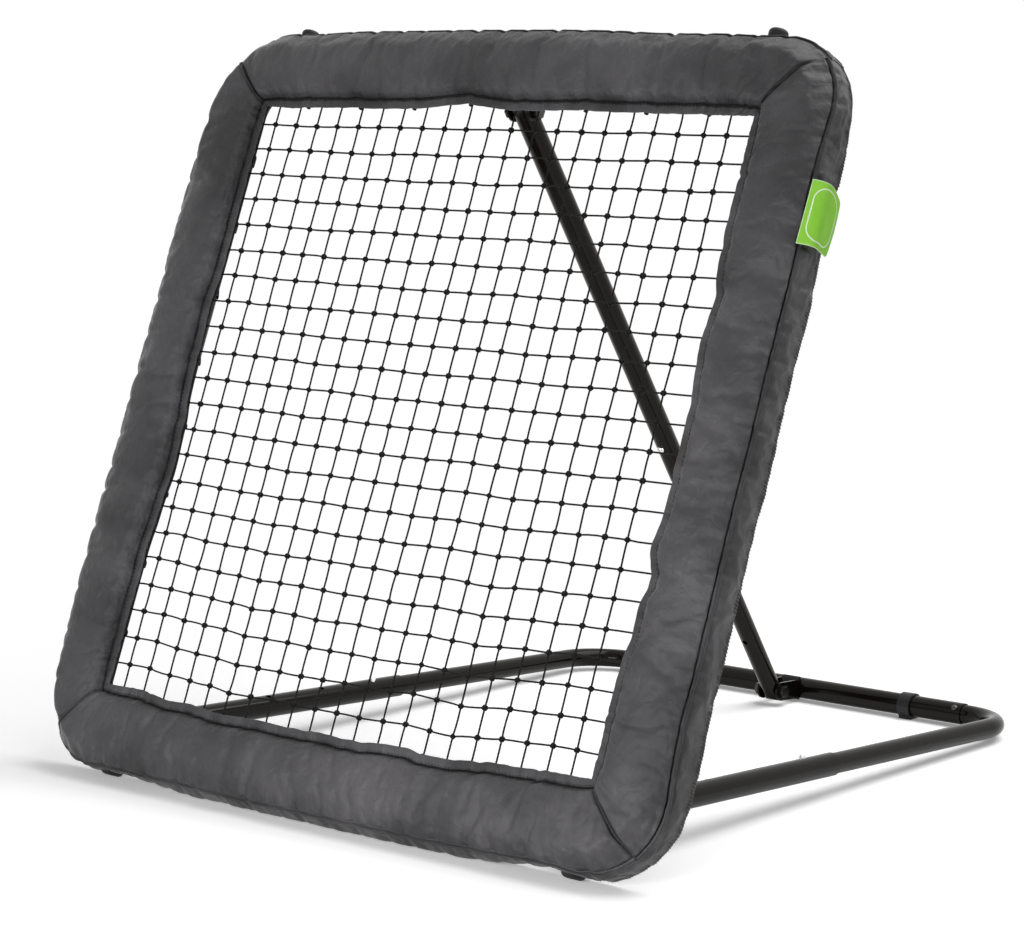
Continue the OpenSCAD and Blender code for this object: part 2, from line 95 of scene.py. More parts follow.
def side_axes(side):
    """Directions along a side and out from the opening."""
    turn = math.radians(90 * side)
    along = math.cos(turn) * ACROSS - math.sin(turn) * UPWARD
    out = math.sin(turn) * ACROSS + math.cos(turn) * UPWARD
    return along, out


def on_side(side, along, out, back):
    """Places on a side; the three distances are numbers or arrays of the same shape."""
    way, outward = side_axes(side)
    along, out, back = (np.asarray(x, float)[..., None] for x in (along, out, back))
    return CENTRE + along * way + (HALF + out) * outward + back * BACKWARD


print("middle of the opening, mm:", (CENTRE / MM).round(1))

# %% [markdown]
# ## Camera
#
# The rebounder is seen from its front right, a little above its middle. The lens is long, so
# the tubes that run away from the camera stay nearly parallel.

# %% Camera
AZIMUTH, ELEVATION, ROLL = (math.radians(a) for a in (39.86, 7.491, 0.361))
CAMERA_PLACE = (2.0277, -2.5439, 0.7525)
FOCAL_LENGTH, SENSOR_WIDTH = 106.15, 36


def add_to_scene(name, data):
    """A new object of the scene that shows some data."""
    obj = bpy.data.objects.new(name, data)
    bpy.context.scene.collection.objects.link(obj)
    return obj


look = Vector((-math.sin(AZIMUTH) * math.cos(ELEVATION), math.cos(AZIMUTH) * math.cos(ELEVATION),
               -math.sin(ELEVATION)))
level = Vector((math.cos(AZIMUTH), math.sin(AZIMUTH), 0))
upright = level.cross(look)
camera_x = math.cos(ROLL) * level + math.sin(ROLL) * upright
camera_y = -math.sin(ROLL) * level + math.cos(ROLL) * upright

lens = bpy.data.cameras.new("camera")
lens.lens = FOCAL_LENGTH
lens.sensor_width = SENSOR_WIDTH
camera = add_to_scene("camera", lens)
camera.matrix_world = Matrix.Translation(CAMERA_PLACE) @ Matrix(
    (camera_x, camera_y, -look)).transposed().to_4x4()
bpy.context.scene.camera = camera
bpy.context.scene.view_settings.view_transform = "Standard"
print("camera looks along", [round(x, 3) for x in look])

# %% [markdown]
# ## Sums on sockets
#
# A finish is easier to read as sums than as a page of links. The class below wraps one output
# socket, so that `1 - mask` adds the Math node it needs. One method makes every other node from
# its type, its settings and what goes into its sockets.

# %% Shader helpers
class Value:
    """One output socket, usable in plain sums."""

    def __init__(self, shader, socket):
        self.shader = shader
        self.socket = socket

    def math(self, operation, *others):
        return self.shader.node("ShaderNodeMath", {"operation": operation}, dict(enumerate(others)))

    def __add__(self, other):
        return self.math("ADD", self, other)

    def __mul__(self, other):
        return self.math("MULTIPLY", self, other)

    def __sub__(self, other):
        return self.math("SUBTRACT", self, other)

    def __rsub__(self, other):
        return self.math("SUBTRACT", other, self)

    def __pow__(self, other):
        return self.math("POWER", self, other)

    __radd__ = __add__
    __rmul__ = __mul__

    def between(self, low, high):
        """0 below low, 1 above high, smooth between."""
        return self.shader.node("ShaderNodeMapRange", {"interpolation_type": "SMOOTHSTEP"},
                                {0: self, 1: low, 2: high, 3: 0.0, 4: 1.0})

    def wave(self):
        return self.math("SINE", self)

    def size(self):
        return self.math("ABSOLUTE", self)

    def at_most(self, other):
        return self.math("MINIMUM", self, other)

    def at_least(self, other):
        return self.math("MAXIMUM", self, other)


class Shader:
    """A node tree under construction, for a material or the world."""

    def __init__(self, owner):
        owner.use_nodes = True
        self.owner = owner
        self.tree = owner.node_tree
        self.tree.nodes.clear()

    def node(self, kind, settings=None, inputs=None, output=0):
        made = self.tree.nodes.new(kind)
        for name, value in (settings or {}).items():
            setattr(made, name, value)
        for name, value in (inputs or {}).items():
            if isinstance(value, Value):
                self.tree.links.new(value.socket, made.inputs[name])
            else:
                made.inputs[name].default_value = value
        return Value(self, made.outputs[output]) if made.outputs else None

    def place(self):
        """Object coordinates: metres in the shared frame."""
        return self.node("ShaderNodeTexCoord", output=3)

    def uv(self):
        return self.node("ShaderNodeTexCoord", output=2)

    def split(self, vector):
        """The X, Y and Z of a vector."""
        return [self.node("ShaderNodeSeparateXYZ", {}, {0: vector}, k) for k in range(3)]

    def stretched(self, vector, scale):
        return self.node("ShaderNodeMapping", {}, {0: vector, 3: scale})

    def attribute(self, name):
        """A value that the mesh carries at its points."""
        return self.node("ShaderNodeAttribute", {"attribute_name": name}, output=2)

    def to_eye(self):
        """1 for rays of the camera and for those that it sees reflected or refracted."""
        camera_ray, glossy, clear = (self.node("ShaderNodeLightPath", output=k) for k in (0, 3, 6))
        return (camera_ray + glossy + clear).at_most(1.0)

    def noise(self, vector, scale, detail=2.0, roughness=0.5, distortion=0.0):
        return self.node("ShaderNodeTexNoise", {}, {
            "Vector": vector, "Scale": scale, "Detail": detail,
            "Roughness": roughness, "Distortion": distortion})

    def mix(self, share, first, second):
        """A colour between two colours; each is a Value or red, green and blue."""
        first, second = (c if isinstance(c, Value) else (*c, 1) for c in (first, second))
        return self.node("ShaderNodeMix", {"data_type": "RGBA"}, {0: share, 6: first, 7: second}, 2)

    def bump(self, height, distance, strength=1.0, normal=None):
        inputs = {"Height": height, "Distance": distance, "Strength": strength}
        if normal is not None:
            inputs["Normal"] = normal
        return self.node("ShaderNodeBump", {}, inputs)

    def surface(self, **sockets):
        """Ends the tree in a Principled surface; a name's underscores stand for spaces."""
        inputs = {}
        for name, value in sockets.items():
            if isinstance(value, tuple) and len(value) == 3:
                value = (*value, 1)
            inputs[name.replace("_", " ")] = value
        body = self.node("ShaderNodeBsdfPrincipled", {}, inputs)
        self.node("ShaderNodeOutputMaterial", {}, {0: body})
        return self.owner


def new_material(name):
    return Shader(bpy.data.materials.new(name))


print("shader helpers ready")

# %% [markdown]
# ## Light, floor and background
#
# A large panel above, to the right and behind gives the bright edge on each tube and the soft
# shadow under it. A low panel in front lights the padding, most of all its lower part, and the
# world fills the rest faintly, so that every wrinkle keeps a lit and a dark side. The floor is
# pale. For camera, glossy and transmission rays its paint is raised until the open floor is
# white, and with distance it fades into a white glow, but near the object it keeps the shadow.
# The same rays see a plain white world, which lights everything else much more faintly.

# %% Light and floor
WORLD_LIGHT = 0.17
WHITE = (1, 1, 1, 1)
FLOOR_SIZE = 14
PAINT, SEEN_PAINT = (0.84, 0.84, 0.84), (1.42, 1.42, 1.42)
SHADOWED, WHITE_FROM = 0.5, 1.0
LEAST_GLOW = 0.2

world = Shader(bpy.data.worlds.new("studio"))
sky = world.node("ShaderNodeBackground", {}, {
    0: WHITE, 1: world.to_eye() * (1 - WORLD_LIGHT) + WORLD_LIGHT})
world.node("ShaderNodeOutputWorld", {}, {0: sky})
bpy.context.scene.world = world.owner


def panel_light(name, place, target, size, watts):
    """Square soft light that faces a target."""
    light = bpy.data.lights.new(name, "AREA")
    light.size = size
    light.energy = watts
    lamp = add_to_scene(name, light)
    lamp.location = place
    lamp.rotation_euler = (Vector(target) - Vector(place)).to_track_quat("-Z", "Y").to_euler()


panel_light("panel_above", (0.9, 0.8, 2.6), (0, 0, 0.1), 2.6, 72)
panel_light("panel_low", (0.3, -1.55, 0.16), (0.1, -0.3, 0.12), 0.8, 20)

bpy.ops.object.select_all(action="DESELECT")
bpy.ops.mesh.primitive_plane_add(size=FLOOR_SIZE, location=(0, 0, 0))
floor = bpy.context.object
floor.name = "floor"
ground = new_material("white_floor")
watched = ground.to_eye()
paint = ground.node("ShaderNodeBsdfDiffuse", {}, {0: ground.mix(watched, PAINT, SEEN_PAINT)})
distance = ground.node("ShaderNodeVectorMath", {"operation": "LENGTH"}, {0: ground.place()}, 1)
glowing = (1 - LEAST_GLOW) * distance.between(SHADOWED, WHITE_FROM) + LEAST_GLOW
glow = ground.node("ShaderNodeEmission", {}, {0: WHITE, 1: 1.0})
both = ground.node("ShaderNodeMixShader", {}, {0: watched * glowing, 1: paint, 2: glow})
ground.node("ShaderNodeOutputMaterial", {}, {0: both})
floor.data.materials.append(ground.owner)
floor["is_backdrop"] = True
print("light and floor ready")

# %% [markdown]
# ## Powder coat on the tubes
#
# The tubes are steel with a gloss black coat. Such a coat is never quite even: it has a fine
# orange peel that breaks up long reflections, slightly duller patches, and light dust. A low
# noise changes the roughness, a fine one makes the peel.

# %% Black powder coat
def powder_coat():
    shader = new_material("black_powder_coat")
    place = shader.place()
    patches = shader.noise(place, 22, 3)
    peel = shader.noise(place, 420, 2, 0.45)
    dust = shader.noise(place, 900, 3, 0.7).between(0.62, 0.8)
    colour = shader.mix(dust * 0.4, (0.0045, 0.0032, 0.0018), (0.036, 0.031, 0.025))
    return shader.surface(Base_Color=colour, Roughness=0.07 + 0.08 * patches + 0.2 * dust,
                          Normal=shader.bump(peel, 0.00012, 0.3), Specular_IOR_Level=0.15)


# %% [markdown]
# ## Rubber, plastic and steel
#
# Feet and bumpers are matte rubber with a mould's fine grain and pale scuffs. Plugs and floor
# clips are satin plastic, rubbed in places. Bolts and nuts are blackened steel, which is cloudy:
# darker and rougher in patches. The snap buttons and the lock pin are polished.

# %% Small finishes
def moulded(name, colour, worn, wear, roughness, grain):
    """Rubber or plastic: wear is a noise and its limits, grain a scale, a depth and a strength."""
    shader = new_material(name)
    place = shader.place()
    pattern, share, limits = wear
    scuffs = shader.noise(place, *pattern).between(*limits)
    scale, depth, strength = grain
    return shader.surface(Base_Color=shader.mix(scuffs * share, colour, worn),
                          Roughness=roughness[0] + roughness[1] * scuffs,
                          Normal=shader.bump(shader.noise(place, scale, 2), depth, strength),
                          Specular_IOR_Level=0.25)


def steel(name, colour, dull, rough, cloud):
    """Metal whose cloudy patches are darker and rougher."""
    shader = new_material(name)
    place = shader.place()
    patches = shader.noise(place, 300, 4, 0.6).between(0.35, 0.7)
    scratches = shader.noise(shader.stretched(place, (1, 12, 12)), 900, 2)
    return shader.surface(Base_Color=shader.mix(patches * cloud, colour, dull), Metallic=1.0,
                          Roughness=rough + 0.15 * patches,
                          Normal=shader.bump(scratches, 0.00003, 0.3))


coat = powder_coat()
foot_rubber = moulded("moulded_rubber", (0.012, 0.012, 0.0125), (0.05, 0.049, 0.047),
                      ((90, 4, 0.65), 0.6, (0.55, 0.75)), (0.55, 0.25), (1400, 0.0001, 0.5))
plug_plastic = moulded("satin_plastic", (0.011, 0.011, 0.0115), (0.022, 0.022, 0.023),
                       ((60, 3), 1.0, (0.5, 0.7)), (0.34, 0.16), (800, 0.00008, 0.4))
blackened = steel("blackened_steel", (0.075, 0.073, 0.072), (0.03, 0.029, 0.028), 0.26, 0.7)
polished = steel("polished_steel", (0.78, 0.78, 0.79), (0.6, 0.6, 0.6), 0.1, 0.3)
spring = steel("spring_steel", (0.33, 0.33, 0.35), (0.2, 0.19, 0.19), 0.3, 0.6)

# %% [markdown]
# A node of the construction keeps its shape, so its finish simply replaces what is in its
# material slots. The first part of a node's name says what it is made of.

# %% Finishes of the construction's own nodes
FINISHES = [
    (coat, ("tube_", "bend_", "foot_posts", "bumper_posts", "hinge_bracket_", "strut_bracket",
            "arm_", "rear_leg_", "cross_tube", "rear_bracket", "strut_lower", "strut_upper")),
    (foot_rubber, ("foot_left", "foot_right", "bumper_left", "bumper_right")),
    (plug_plastic, ("arm_plug_", "strut_foot_plug", "strut_top_plug", "floor_clip_")),
    (blackened, ("strut_top_bolt", "strut_top_nut", "hinge_bolt_", "hinge_nuts", "cross_screws",
                 "rear_bolt", "rear_nut")),
    (polished, ("snap_button_", "lock_pin")),
    (spring, ("snap_spring_",)),
]
finished = 0
for material, starts in FINISHES:
    for name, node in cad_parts.items():
        if name.startswith(starts):
            node.data.materials.clear()
            node.data.materials.append(material)
            finished += 1
print("finishes given to nodes:", finished)

# %% [markdown]
# ## Cloth finishes
#
# The cover is a dark grey woven polyester with a satin face. Up close it is a plain weave of
# threads just over half a millimetre apart; from a step away it is a mottled grey, whose random
# lighter patches paint a satin sheen into the colour, with painted shade towards the seams, and
# fine creases. The weave follows the cloth through UVs in metres: along the pad, and round its
# section. The mottling uses places in space, so that it crosses the seams. Each cover carries two
# values, named for seams and gathers: the first is 1 in its stitched valleys and at the mitres,
# which are painted nearly black as their shadow, with dark stitches alternating with paler gaps;
# the second rises towards them, where the stitching ruffles the cloth into short puckers across
# the seam, and paints shade there too.

# %% Cover cloth
WEAVE = 0.62 * MM
STITCH_PITCH = 4.4 * MM
# The seam colour is nearly black: painted shadow in the valleys, with darker stitch dashes.
LINT, SEAM_THREAD_AND_PAINTED_SHADOW = (0.13, 0.13, 0.135), (0.002, 0.002, 0.002)


def cover_cloth(name, light, dark):
    shader = new_material(name)
    place = shader.place()
    along, around, _ = shader.split(shader.uv())
    seam, gather_and_painted_shade = shader.attribute("seam"), shader.attribute("gather_and_painted_shade")
    warp, weft = ((way * (math.tau / WEAVE)).wave() for way in (along, around))
    # These two noises give a random tone whose lighter parts paint a satin sheen into the colour.
    mottle_and_painted_sheen = shader.noise(place, 22, 3, 0.55, 0.3)
    patches = shader.noise(place, 7, 2, 0.5, 0.5)
    lint = shader.noise(place, 1100, 2, 0.6).between(0.68, 0.8)
    puckers = shader.noise(shader.stretched(shader.uv(), (1, 0.22, 1)), 64, 2, 0.5, 0.3)
    ruffle = gather_and_painted_shade * puckers
    # The tone is painted sheen and random mottling at once; the roughness follows it.
    shade = (0.35 * mottle_and_painted_sheen + 0.65 * patches).between(0.32, 0.68)
    # Painted shade: the tone is darkened in streaks near the seams and mitres, where the stitching
    # gathers the cloth.
    smooth = (shade - 0.7 * (gather_and_painted_shade * (1.25 - puckers).between(0.55, 0.95))).at_least(0.0)
    colour = shader.mix(lint * 0.2, shader.mix(smooth, dark, light), LINT)
    # Painted shadow: the stitched valleys and the mitre ends are darkened nearly to black, a little
    # less in the gaps between stitches.
    dashes = (along * (math.tau / STITCH_PITCH)).wave().between(-0.7, 0.2)
    colour = shader.mix(seam.between(0.2, 0.9) * (0.7 + 0.26 * dashes), colour, SEAM_THREAD_AND_PAINTED_SHADOW)
    sharp, fine = (shader.noise(place, scale, 3, 0.5, 0.25) for scale in (34, 110))
    across = shader.noise(shader.stretched(shader.uv(), (1, 0.5, 1)), 32, 2, 0.45, 0.4)
    creases = across + (sharp - 0.5).size() + fine * 0.3
    folds = shader.bump(creases + ruffle * 1.2, 0.0042, 0.85)
    return shader.surface(Base_Color=colour, Roughness=0.46 - 0.12 * shade,
                          Normal=shader.bump(warp * weft, 0.00009, 0.5, folds),
                          Specular_IOR_Level=0.32, Sheen_Weight=0.06, Sheen_Roughness=0.4)


# The lighter colour carries the painted sheen, the darker one the painted shade towards the seams.
cloth = cover_cloth("cover_cloth", (0.071, 0.068, 0.072), (0.023, 0.022, 0.024))

# %% [markdown]
# Thread, twine and cord are all twisted fibres. One finish serves them: stripes that run round
# and along the strand at once are the lay of the twist, bumped into grooves that are painted
# darker as their shade, and the UVs of a swept strand give both directions. The number of
# turns depends on the strand's length.

# %% Twisted strands
def strand_finish(name, colour, dark, turns, depth):
    shader = new_material(name)
    along, around, _ = shader.split(shader.uv())
    lay = ((along * turns + around * 3) * math.tau).wave() * 0.5 + 0.5
    fuzz = shader.noise(shader.place(), 1500, 3, 0.65)
    # The colour is darker where the lay's bump is low: painted shade in the grooves of the twist.
    return shader.surface(Base_Color=shader.mix(lay * fuzz, dark, colour),
                          Roughness=0.6 + 0.2 * fuzz, Normal=shader.bump(lay, depth, 0.6),
                          Specular_IOR_Level=0.15)


twine = strand_finish("black_twine", (0.009, 0.008, 0.008), (0.002, 0.002, 0.002), 150, 0.0003)
rope = strand_finish("border_rope", (0.02, 0.02, 0.021), (0.007, 0.007, 0.007), 130, 0.0006)
tie_cord = strand_finish("tie_cord", (0.03, 0.029, 0.03), (0.006, 0.006, 0.006), 60, 0.0002)
thread_dark = strand_finish("sewing_thread", (0.03, 0.03, 0.031), (0.008, 0.008, 0.008), 6, 0.0001)
thread_grey = strand_finish("overlock_thread", (0.07, 0.07, 0.072), (0.02, 0.02, 0.02), 6, 0.0001)
print("cloth finishes ready")

# %% [markdown]
# ## Swept strands
#
# Twine, cord, piping and thread have one shape: a round strand along a path. In Blender that is
# a curve with a bevel. Converting it to a mesh keeps UVs, where U runs along each strand from 0
# to 1 and V runs round it.

# %% Strands from paths
def only(obj):
    """Selects one object and makes it the active one."""
    bpy.ops.object.select_all(action="DESELECT")
    obj.select_set(True)
    bpy.context.view_layer.objects.active = obj


def strands(name, paths, radius, material, sides=8, closed=False):
    """Round strands along paths, as one smooth mesh."""
    curve = bpy.data.curves.new(name, "CURVE")
    curve.dimensions = "3D"
    curve.bevel_depth = radius
    curve.bevel_resolution = sides // 2 - 2
    curve.use_fill_caps = not closed
    for path in paths:
        spline = curve.splines.new("POLY")
        spline.points.add(len(path) - 1)
        spline.use_cyclic_u = closed
        for point, place in zip(spline.points, path):
            point.co = (*place, 1)
    only(add_to_scene(name, curve))
    bpy.ops.object.convert(target="MESH")
    obj = bpy.context.object
    bpy.ops.object.shade_smooth_by_angle(angle=math.radians(50))
    obj.data.materials.append(material)
    return obj


def copies(name, model, places, material):
    """One mesh with a copy of the model at each place, a 4x4 matrix."""
    count = len(model.data.vertices)
    corners = np.ones((count, 4))
    corners[:, :3] = [v.co for v in model.data.vertices]
    faces = [tuple(f.vertices) for f in model.data.polygons]
    points = np.concatenate([(corners @ np.array(m).T)[:, :3] for m in places])
    mesh = bpy.data.meshes.new(name)
    mesh.from_pydata(points.tolist(), [], [tuple(v + k * count for v in face)
                                           for k in range(len(places)) for face in faces])
    obj = add_to_scene(name, mesh)
    only(obj)
    bpy.ops.object.shade_smooth_by_angle(angle=math.radians(60))
    mesh.materials.append(material)
    bpy.data.objects.remove(model)
    return obj


def turned(place, x_way, z_way, scale=1.0):
    """Matrix that puts a model at a place with its X and Z along two directions."""
    x = Vector(x_way).normalized()
    y = Vector(z_way).cross(x).normalized()
    turn = Matrix((x, y, x.cross(y))).transposed().to_4x4()
    return Matrix.Translation(Vector(place)) @ turn @ Matrix.Scale(scale, 4)


def wander(seed, place, size=1.0):
    """Smooth random number from -1 to 1 at a place along something."""
    return noise.noise(Vector((seed * 7.31, place / size, 0.37 * seed)))


def waves(run, *layers):
    """Uneven line along a run: a sum of layers, each with its depth, seed and length."""
    return np.array([sum(depth * wander(seed, r, length) for depth, seed, length in layers)
                     for r in run])


def hump(run, middle, width):
    """1 at the middle, fading out over a width; both are in millimetres."""
    return np.exp(-((run / MM - middle) / width) ** 2)


print("strand helpers ready")

# %% [markdown]
# ## The net
#
# The real net is knotted from 2 mm black twine: 21 strands up and 22 across, about 30 mm apart.
# Hand-tied twine is never quite straight, so each crossing sits a millimetre or so off its grid
# and each strand bows a little between crossings. A strand is a swept curve; its knot is a small
# lump of two crossed loops, modelled once from two rings and copied to every crossing.
#
# The net is elastic and laced to the frame, so its cord is pulled outwards more at some places
# than at others, and the hem follows the cord. A short list says where: for each side the place
# along it, the pull and the length of the pull, in millimetres. Most of the lower edge is pulled
# down by 8 mm, and the lower rows of the net hang down with it.

# %% Where the hem is pulled
PULLS = [
    [(-45, 6, 46), (-310, -1.6, 30), (120, 1.5, 60)],
    [(-140, 6.5, 22), (-20, 8, 60), (60, 7.5, 40), (136, 12, 17), (180, 5, 30)],
    [(234, 4, 30), (157, 8, 44), (70, 8, 50), (-26, 8, 60), (-144, 8, 52), (-226, 2.2, 24)],
    [(92, 4.6, 26), (45, 2.2, 22), (-40, -5, 26), (-85, -8, 36), (-140, -3, 26)],
]


def hem_pull(side, run):
    """How far the net's cord and the hem are pulled outwards, in metres."""
    total = 0.0 * np.asarray(run, float)
    weight = 0.0 * total
    for middle, reach, width in PULLS[side]:
        near = hump(run, middle, width)
        total = total + reach * near
        weight = weight + near
    return total / np.maximum(weight, 1) * MM


print("pulls, mm, right side:", (hem_pull(1, np.linspace(-0.3, 0.3, 7)) / MM).round(1))

# %% Net crossings
COLUMNS, ROWS = 21, 22
COLUMN_PITCH, ROW_PITCH = 30.55 * MM, 29.2 * MM
FIRST_COLUMN, FIRST_ROW = -313 * MM, 24.9 * MM - HALF
TWINE_R = 0.95 * MM
REACH = HALF + 6 * MM
SAG_SHARE, SAG_HEIGHT = 1.35, 250 * MM


def crossing(column, row):
    """Place of a knot: off its grid a little, and lower where the lower hem is pulled down."""
    across = FIRST_COLUMN + column * COLUMN_PITCH + 1.5 * MM * wander(column + 1, row, 2.3)
    up = FIRST_ROW + row * ROW_PITCH + 1.5 * MM * wander(row + 40, column, 2.3)
    across += 2.4 * MM * wander(column + 90, 0)
    up -= SAG_SHARE * float(hem_pull(2, -across)) * math.exp(-(up + HALF) / SAG_HEIGHT)
    return across, up


def net_end(side, run):
    """Place where a strand ends at the cord of a side."""
    along = [(run, REACH), (REACH, -run), (-run, -REACH), (-REACH, run)][side]
    pull = float(hem_pull(side, run))
    outward = [(0, pull), (pull, 0), (0, -pull), (-pull, 0)][side]
    return along[0] + outward[0], along[1] + outward[1]


def net_place(across, up):
    bulge = 2.0 * MM * wander(5, across + 0.6 * up, 0.21)
    return on_side(0, across, up - HALF, NET_BACK + bulge)


def bowed(knots, seed):
    """Path through the knots with a slight bow between each two of them."""
    path = []
    for k, (a, b) in enumerate(zip(knots, knots[1:])):
        bow = 1.3 * MM * wander(seed, k + 0.5)
        for step in range(3):
            share = step / 3
            off = bow * math.sin(math.pi * share)
            path.append(net_place(*(p + (q - p) * share + off for p, q in zip(a, b))))
    path.append(net_place(*knots[-1]))
    return path


paths = []
for column in range(COLUMNS):
    inner = [crossing(column, row) for row in range(ROWS)]
    paths.append(bowed([net_end(2, -inner[0][0]), *inner, net_end(0, inner[-1][0])], column + 200))
for row in range(ROWS):
    inner = [crossing(column, row) for column in range(COLUMNS)]
    paths.append(bowed([net_end(3, inner[0][1]), *inner, net_end(1, -inner[-1][1])], row + 300))
net_twine = strands("net_twine", paths, TWINE_R, twine)
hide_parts("net")
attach(net_twine, "target_frame")
print("net:", len(paths), "strands,", len(net_twine.data.polygons), "faces")

# %% Net knots
KNOT_R, KNOT_THREAD_R, KNOT_TILT = 2.0 * MM, 1.4 * MM, math.radians(62)
bpy.ops.object.select_all(action="DESELECT")
knot_loops = []
for turn in (45, -45):
    bpy.ops.mesh.primitive_torus_add(
        major_segments=9, minor_segments=5, major_radius=KNOT_R, minor_radius=KNOT_THREAD_R,
        rotation=(KNOT_TILT, 0, math.radians(turn)))
    knot_loops.append(bpy.context.object)
knot_loops[0].select_set(True)
bpy.ops.object.join()
bpy.ops.object.transform_apply(location=True, rotation=True, scale=True)
knot = bpy.context.object

knot_places = []
for column in range(COLUMNS):
    for row in range(ROWS):
        swing = 0.5 * wander(column * 31 + row, 0.3)
        way = ACROSS * math.cos(swing) + UPWARD * math.sin(swing)
        knot_places.append(turned(net_place(*crossing(column, row)), way, BACKWARD,
                                  1 + 0.14 * wander(row * 17 + column, 0.7)))
net_knots = copies("net_knots", knot, knot_places, twine)
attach(net_knots, "target_frame")
print("knots:", len(knot_places), "with", len(net_knots.data.polygons), "faces")

# %% [markdown]
# ## Padded sides
#
# Each side is a foam strip in a sewn cover: a flat hem at the net, a deep stitched valley, the
# crowned front, a seam with piping, and a side panel that folds round to the back. A sleeve like
# this is one section swept along the side, with its ends fanned out to the mitres and round the
# corner. The sweep gives an even grid of quads, and that is just what a cloth simulation wants:
# seams stay where they are, held by a vertex group, while the panels between them swell under
# pressure and buckle into the small wrinkles of a tight cover.
#
# The first cell gives the section, going round it: distance out from the opening, distance back,
# how firmly the cloth is held there, how much the stitching puckers it, and the grid's spacing
# from that point on. Distances are in millimetres. The names in capitals below it then hold one
# value for each point of the finished section, such as whether it is on the front.

# %% Section of a padded side
SECTION = [
    # hem, and the stitched valley beside it
    (0.2, -1.1, 1, 0, 2.2), (4, -1.6, 1, 0, 2.2), (9, -1.2, 1, 0, 1.2), (11.4, 1.4, 1, 0.4, 0.9),
    (12.6, -2.8, 1, 0.7, 1.2), (14.8, -8.2, 0.9, 0.4, 1.8), (18.6, -11.6, 0.15, 0.1, 2.6),
    # crowned front
    (27, -13.7, 0, 0, 3.6), (44, -15, 0, 0, 3.6), (60, -15, 0, 0, 3.4), (71, -13.8, 0, 0.1, 3),
    (79, -11, 0, 0.3, 2.2), (84.6, -7.6, 0.1, 0.8, 1.5),
    # outer seam
    (87.2, -5, 0.8, 1, 0.8), (84, -2.8, 1, 1, 0.8), (88.2, -1.5, 1, 1, 0.8),
    (90.4, 0.4, 1, 1, 0.8), (88.9, 2.2, 0.9, 1, 1.4),
    # side panel and its rear edge
    (90, 6, 0.1, 0.7, 3), (90.8, 13, 0, 0.3, 3.4), (90.6, 21, 0, 0.2, 3.2),
    (90.2, 29, 0.3, 0.4, 2.4), (90.4, 34.4, 1, 0.7, 1.2), (89.8, 36.4, 1, 0.8, 1.2),
    (87.4, 37.2, 1, 0.8, 2), (82, 36, 1, 0.2, 5),
    # back, round the frame's tube and in to the hem
    (71, 31, 1, 0, 6), (62.5, 20, 1, 0, 6), (59.4, 10, 1, 0, 7), (45, 7.4, 1, 0, 7),
    (30, 5.4, 1, 0, 7), (12, 1.6, 1, 0, 4), (0.2, 0.9, 1, 0, 1.4),
]
VALLEYS = [(11.4, 1.4), (84.6, -2.9)]
VALLEY_R = [1.9, 1.7]
VALLEY_EDGE = 1.4
GATHER_AND_SHADE_REACH = 13 * MM


def rounded_section():
    """The section's points at its own spacing: rows of out, back, held, pucker, in metres."""
    rows = []
    count = len(SECTION)
    for k in range(count):
        p0, p1, p2, p3 = (np.array(SECTION[(k + j) % count][:4], float) for j in (-1, 0, 1, 2))
        steps = max(1, round(np.linalg.norm((p2 - p1)[:2]) / SECTION[k][4]))
        for step in range(steps):
            x = step / steps
            smooth = 0.5 * (2 * p1 + (p2 - p0) * x + (2 * p0 - 5 * p1 + 4 * p2 - p3) * x ** 2
                            + (3 * p1 - p0 - 3 * p2 + p3) * x ** 3)
            straight = p1 + (p2 - p1) * x
            rows.append((*(smooth[:2] * MM), *straight[2:]))
    return np.array(rows)


def ramp(value, low, high):
    """0 to 1 as a value goes from low to high, with soft ends."""
    share = np.clip((value - low) / (high - low), 0, 1)
    return share * share * (3 - 2 * share)


section = rounded_section()
OUT, BACK, HELD, PUCKER = section.T
FRONT_SIDE = BACK < -1.9 * MM
SIDE_PANEL = (OUT > 80 * MM) & ~FRONT_SIDE
NEAR_SEAM = np.where(FRONT_SIDE, ramp(OUT, 66 * MM, 86 * MM),
                     SIDE_PANEL * (1 - ramp(BACK, 2 * MM, 26 * MM)))
FROM_SEAMS = np.array([np.hypot(OUT - out * MM, BACK - back * MM) for out, back in VALLEYS])
# This mask marks the stitched valleys, which the cloth's colour paints nearly black as their
# shadow.
IN_VALLEY = np.max([1 - ramp(away, r * MM, (r + VALLEY_EDGE) * MM)
                    for away, r in zip(FROM_SEAMS, VALLEY_R)], axis=0)
# The next mask rises towards the seams: it ruffles the cloth there and also paints shade into its
# colour.
GATHER_AND_PAINTED_SHADE = np.exp(-FROM_SEAMS.min(axis=0) / GATHER_AND_SHADE_REACH) * (BACK < 30 * MM)
print("pad section:", len(section), "points round,", int((IN_VALLEY > 0.5).sum()), "in the valleys")

# %% [markdown]
# A side's outer edge is straight in the middle and rounds off towards a mitre at each end. The
# upper left corner is a little rounder than the others. A run is a distance along the outer edge
# from the side's middle. The covers stop a hair short of the mitres, so that they don't touch.

# %% Run of a padded side, from mitre to mitre
PAD_W = 92 * MM
CORNERS = np.array([100, 88, 88, 88]) * MM
FAN_FROM = 0.8 * HALF
MITRE_SHARE = 0.9992
RUN_STEP = 4 * MM


def corner_radius(side, run):
    """Radius of the corner that a run is heading for."""
    return np.where(run < 0, CORNERS[side], CORNERS[(side + 1) % 4])


def ends(side):
    """Runs of the two mitres of a side."""
    first, last = (HALF + PAD_W - radius * (1 - math.pi / 4)
                   for radius in (CORNERS[side], CORNERS[(side + 1) % 4]))
    return -first, last


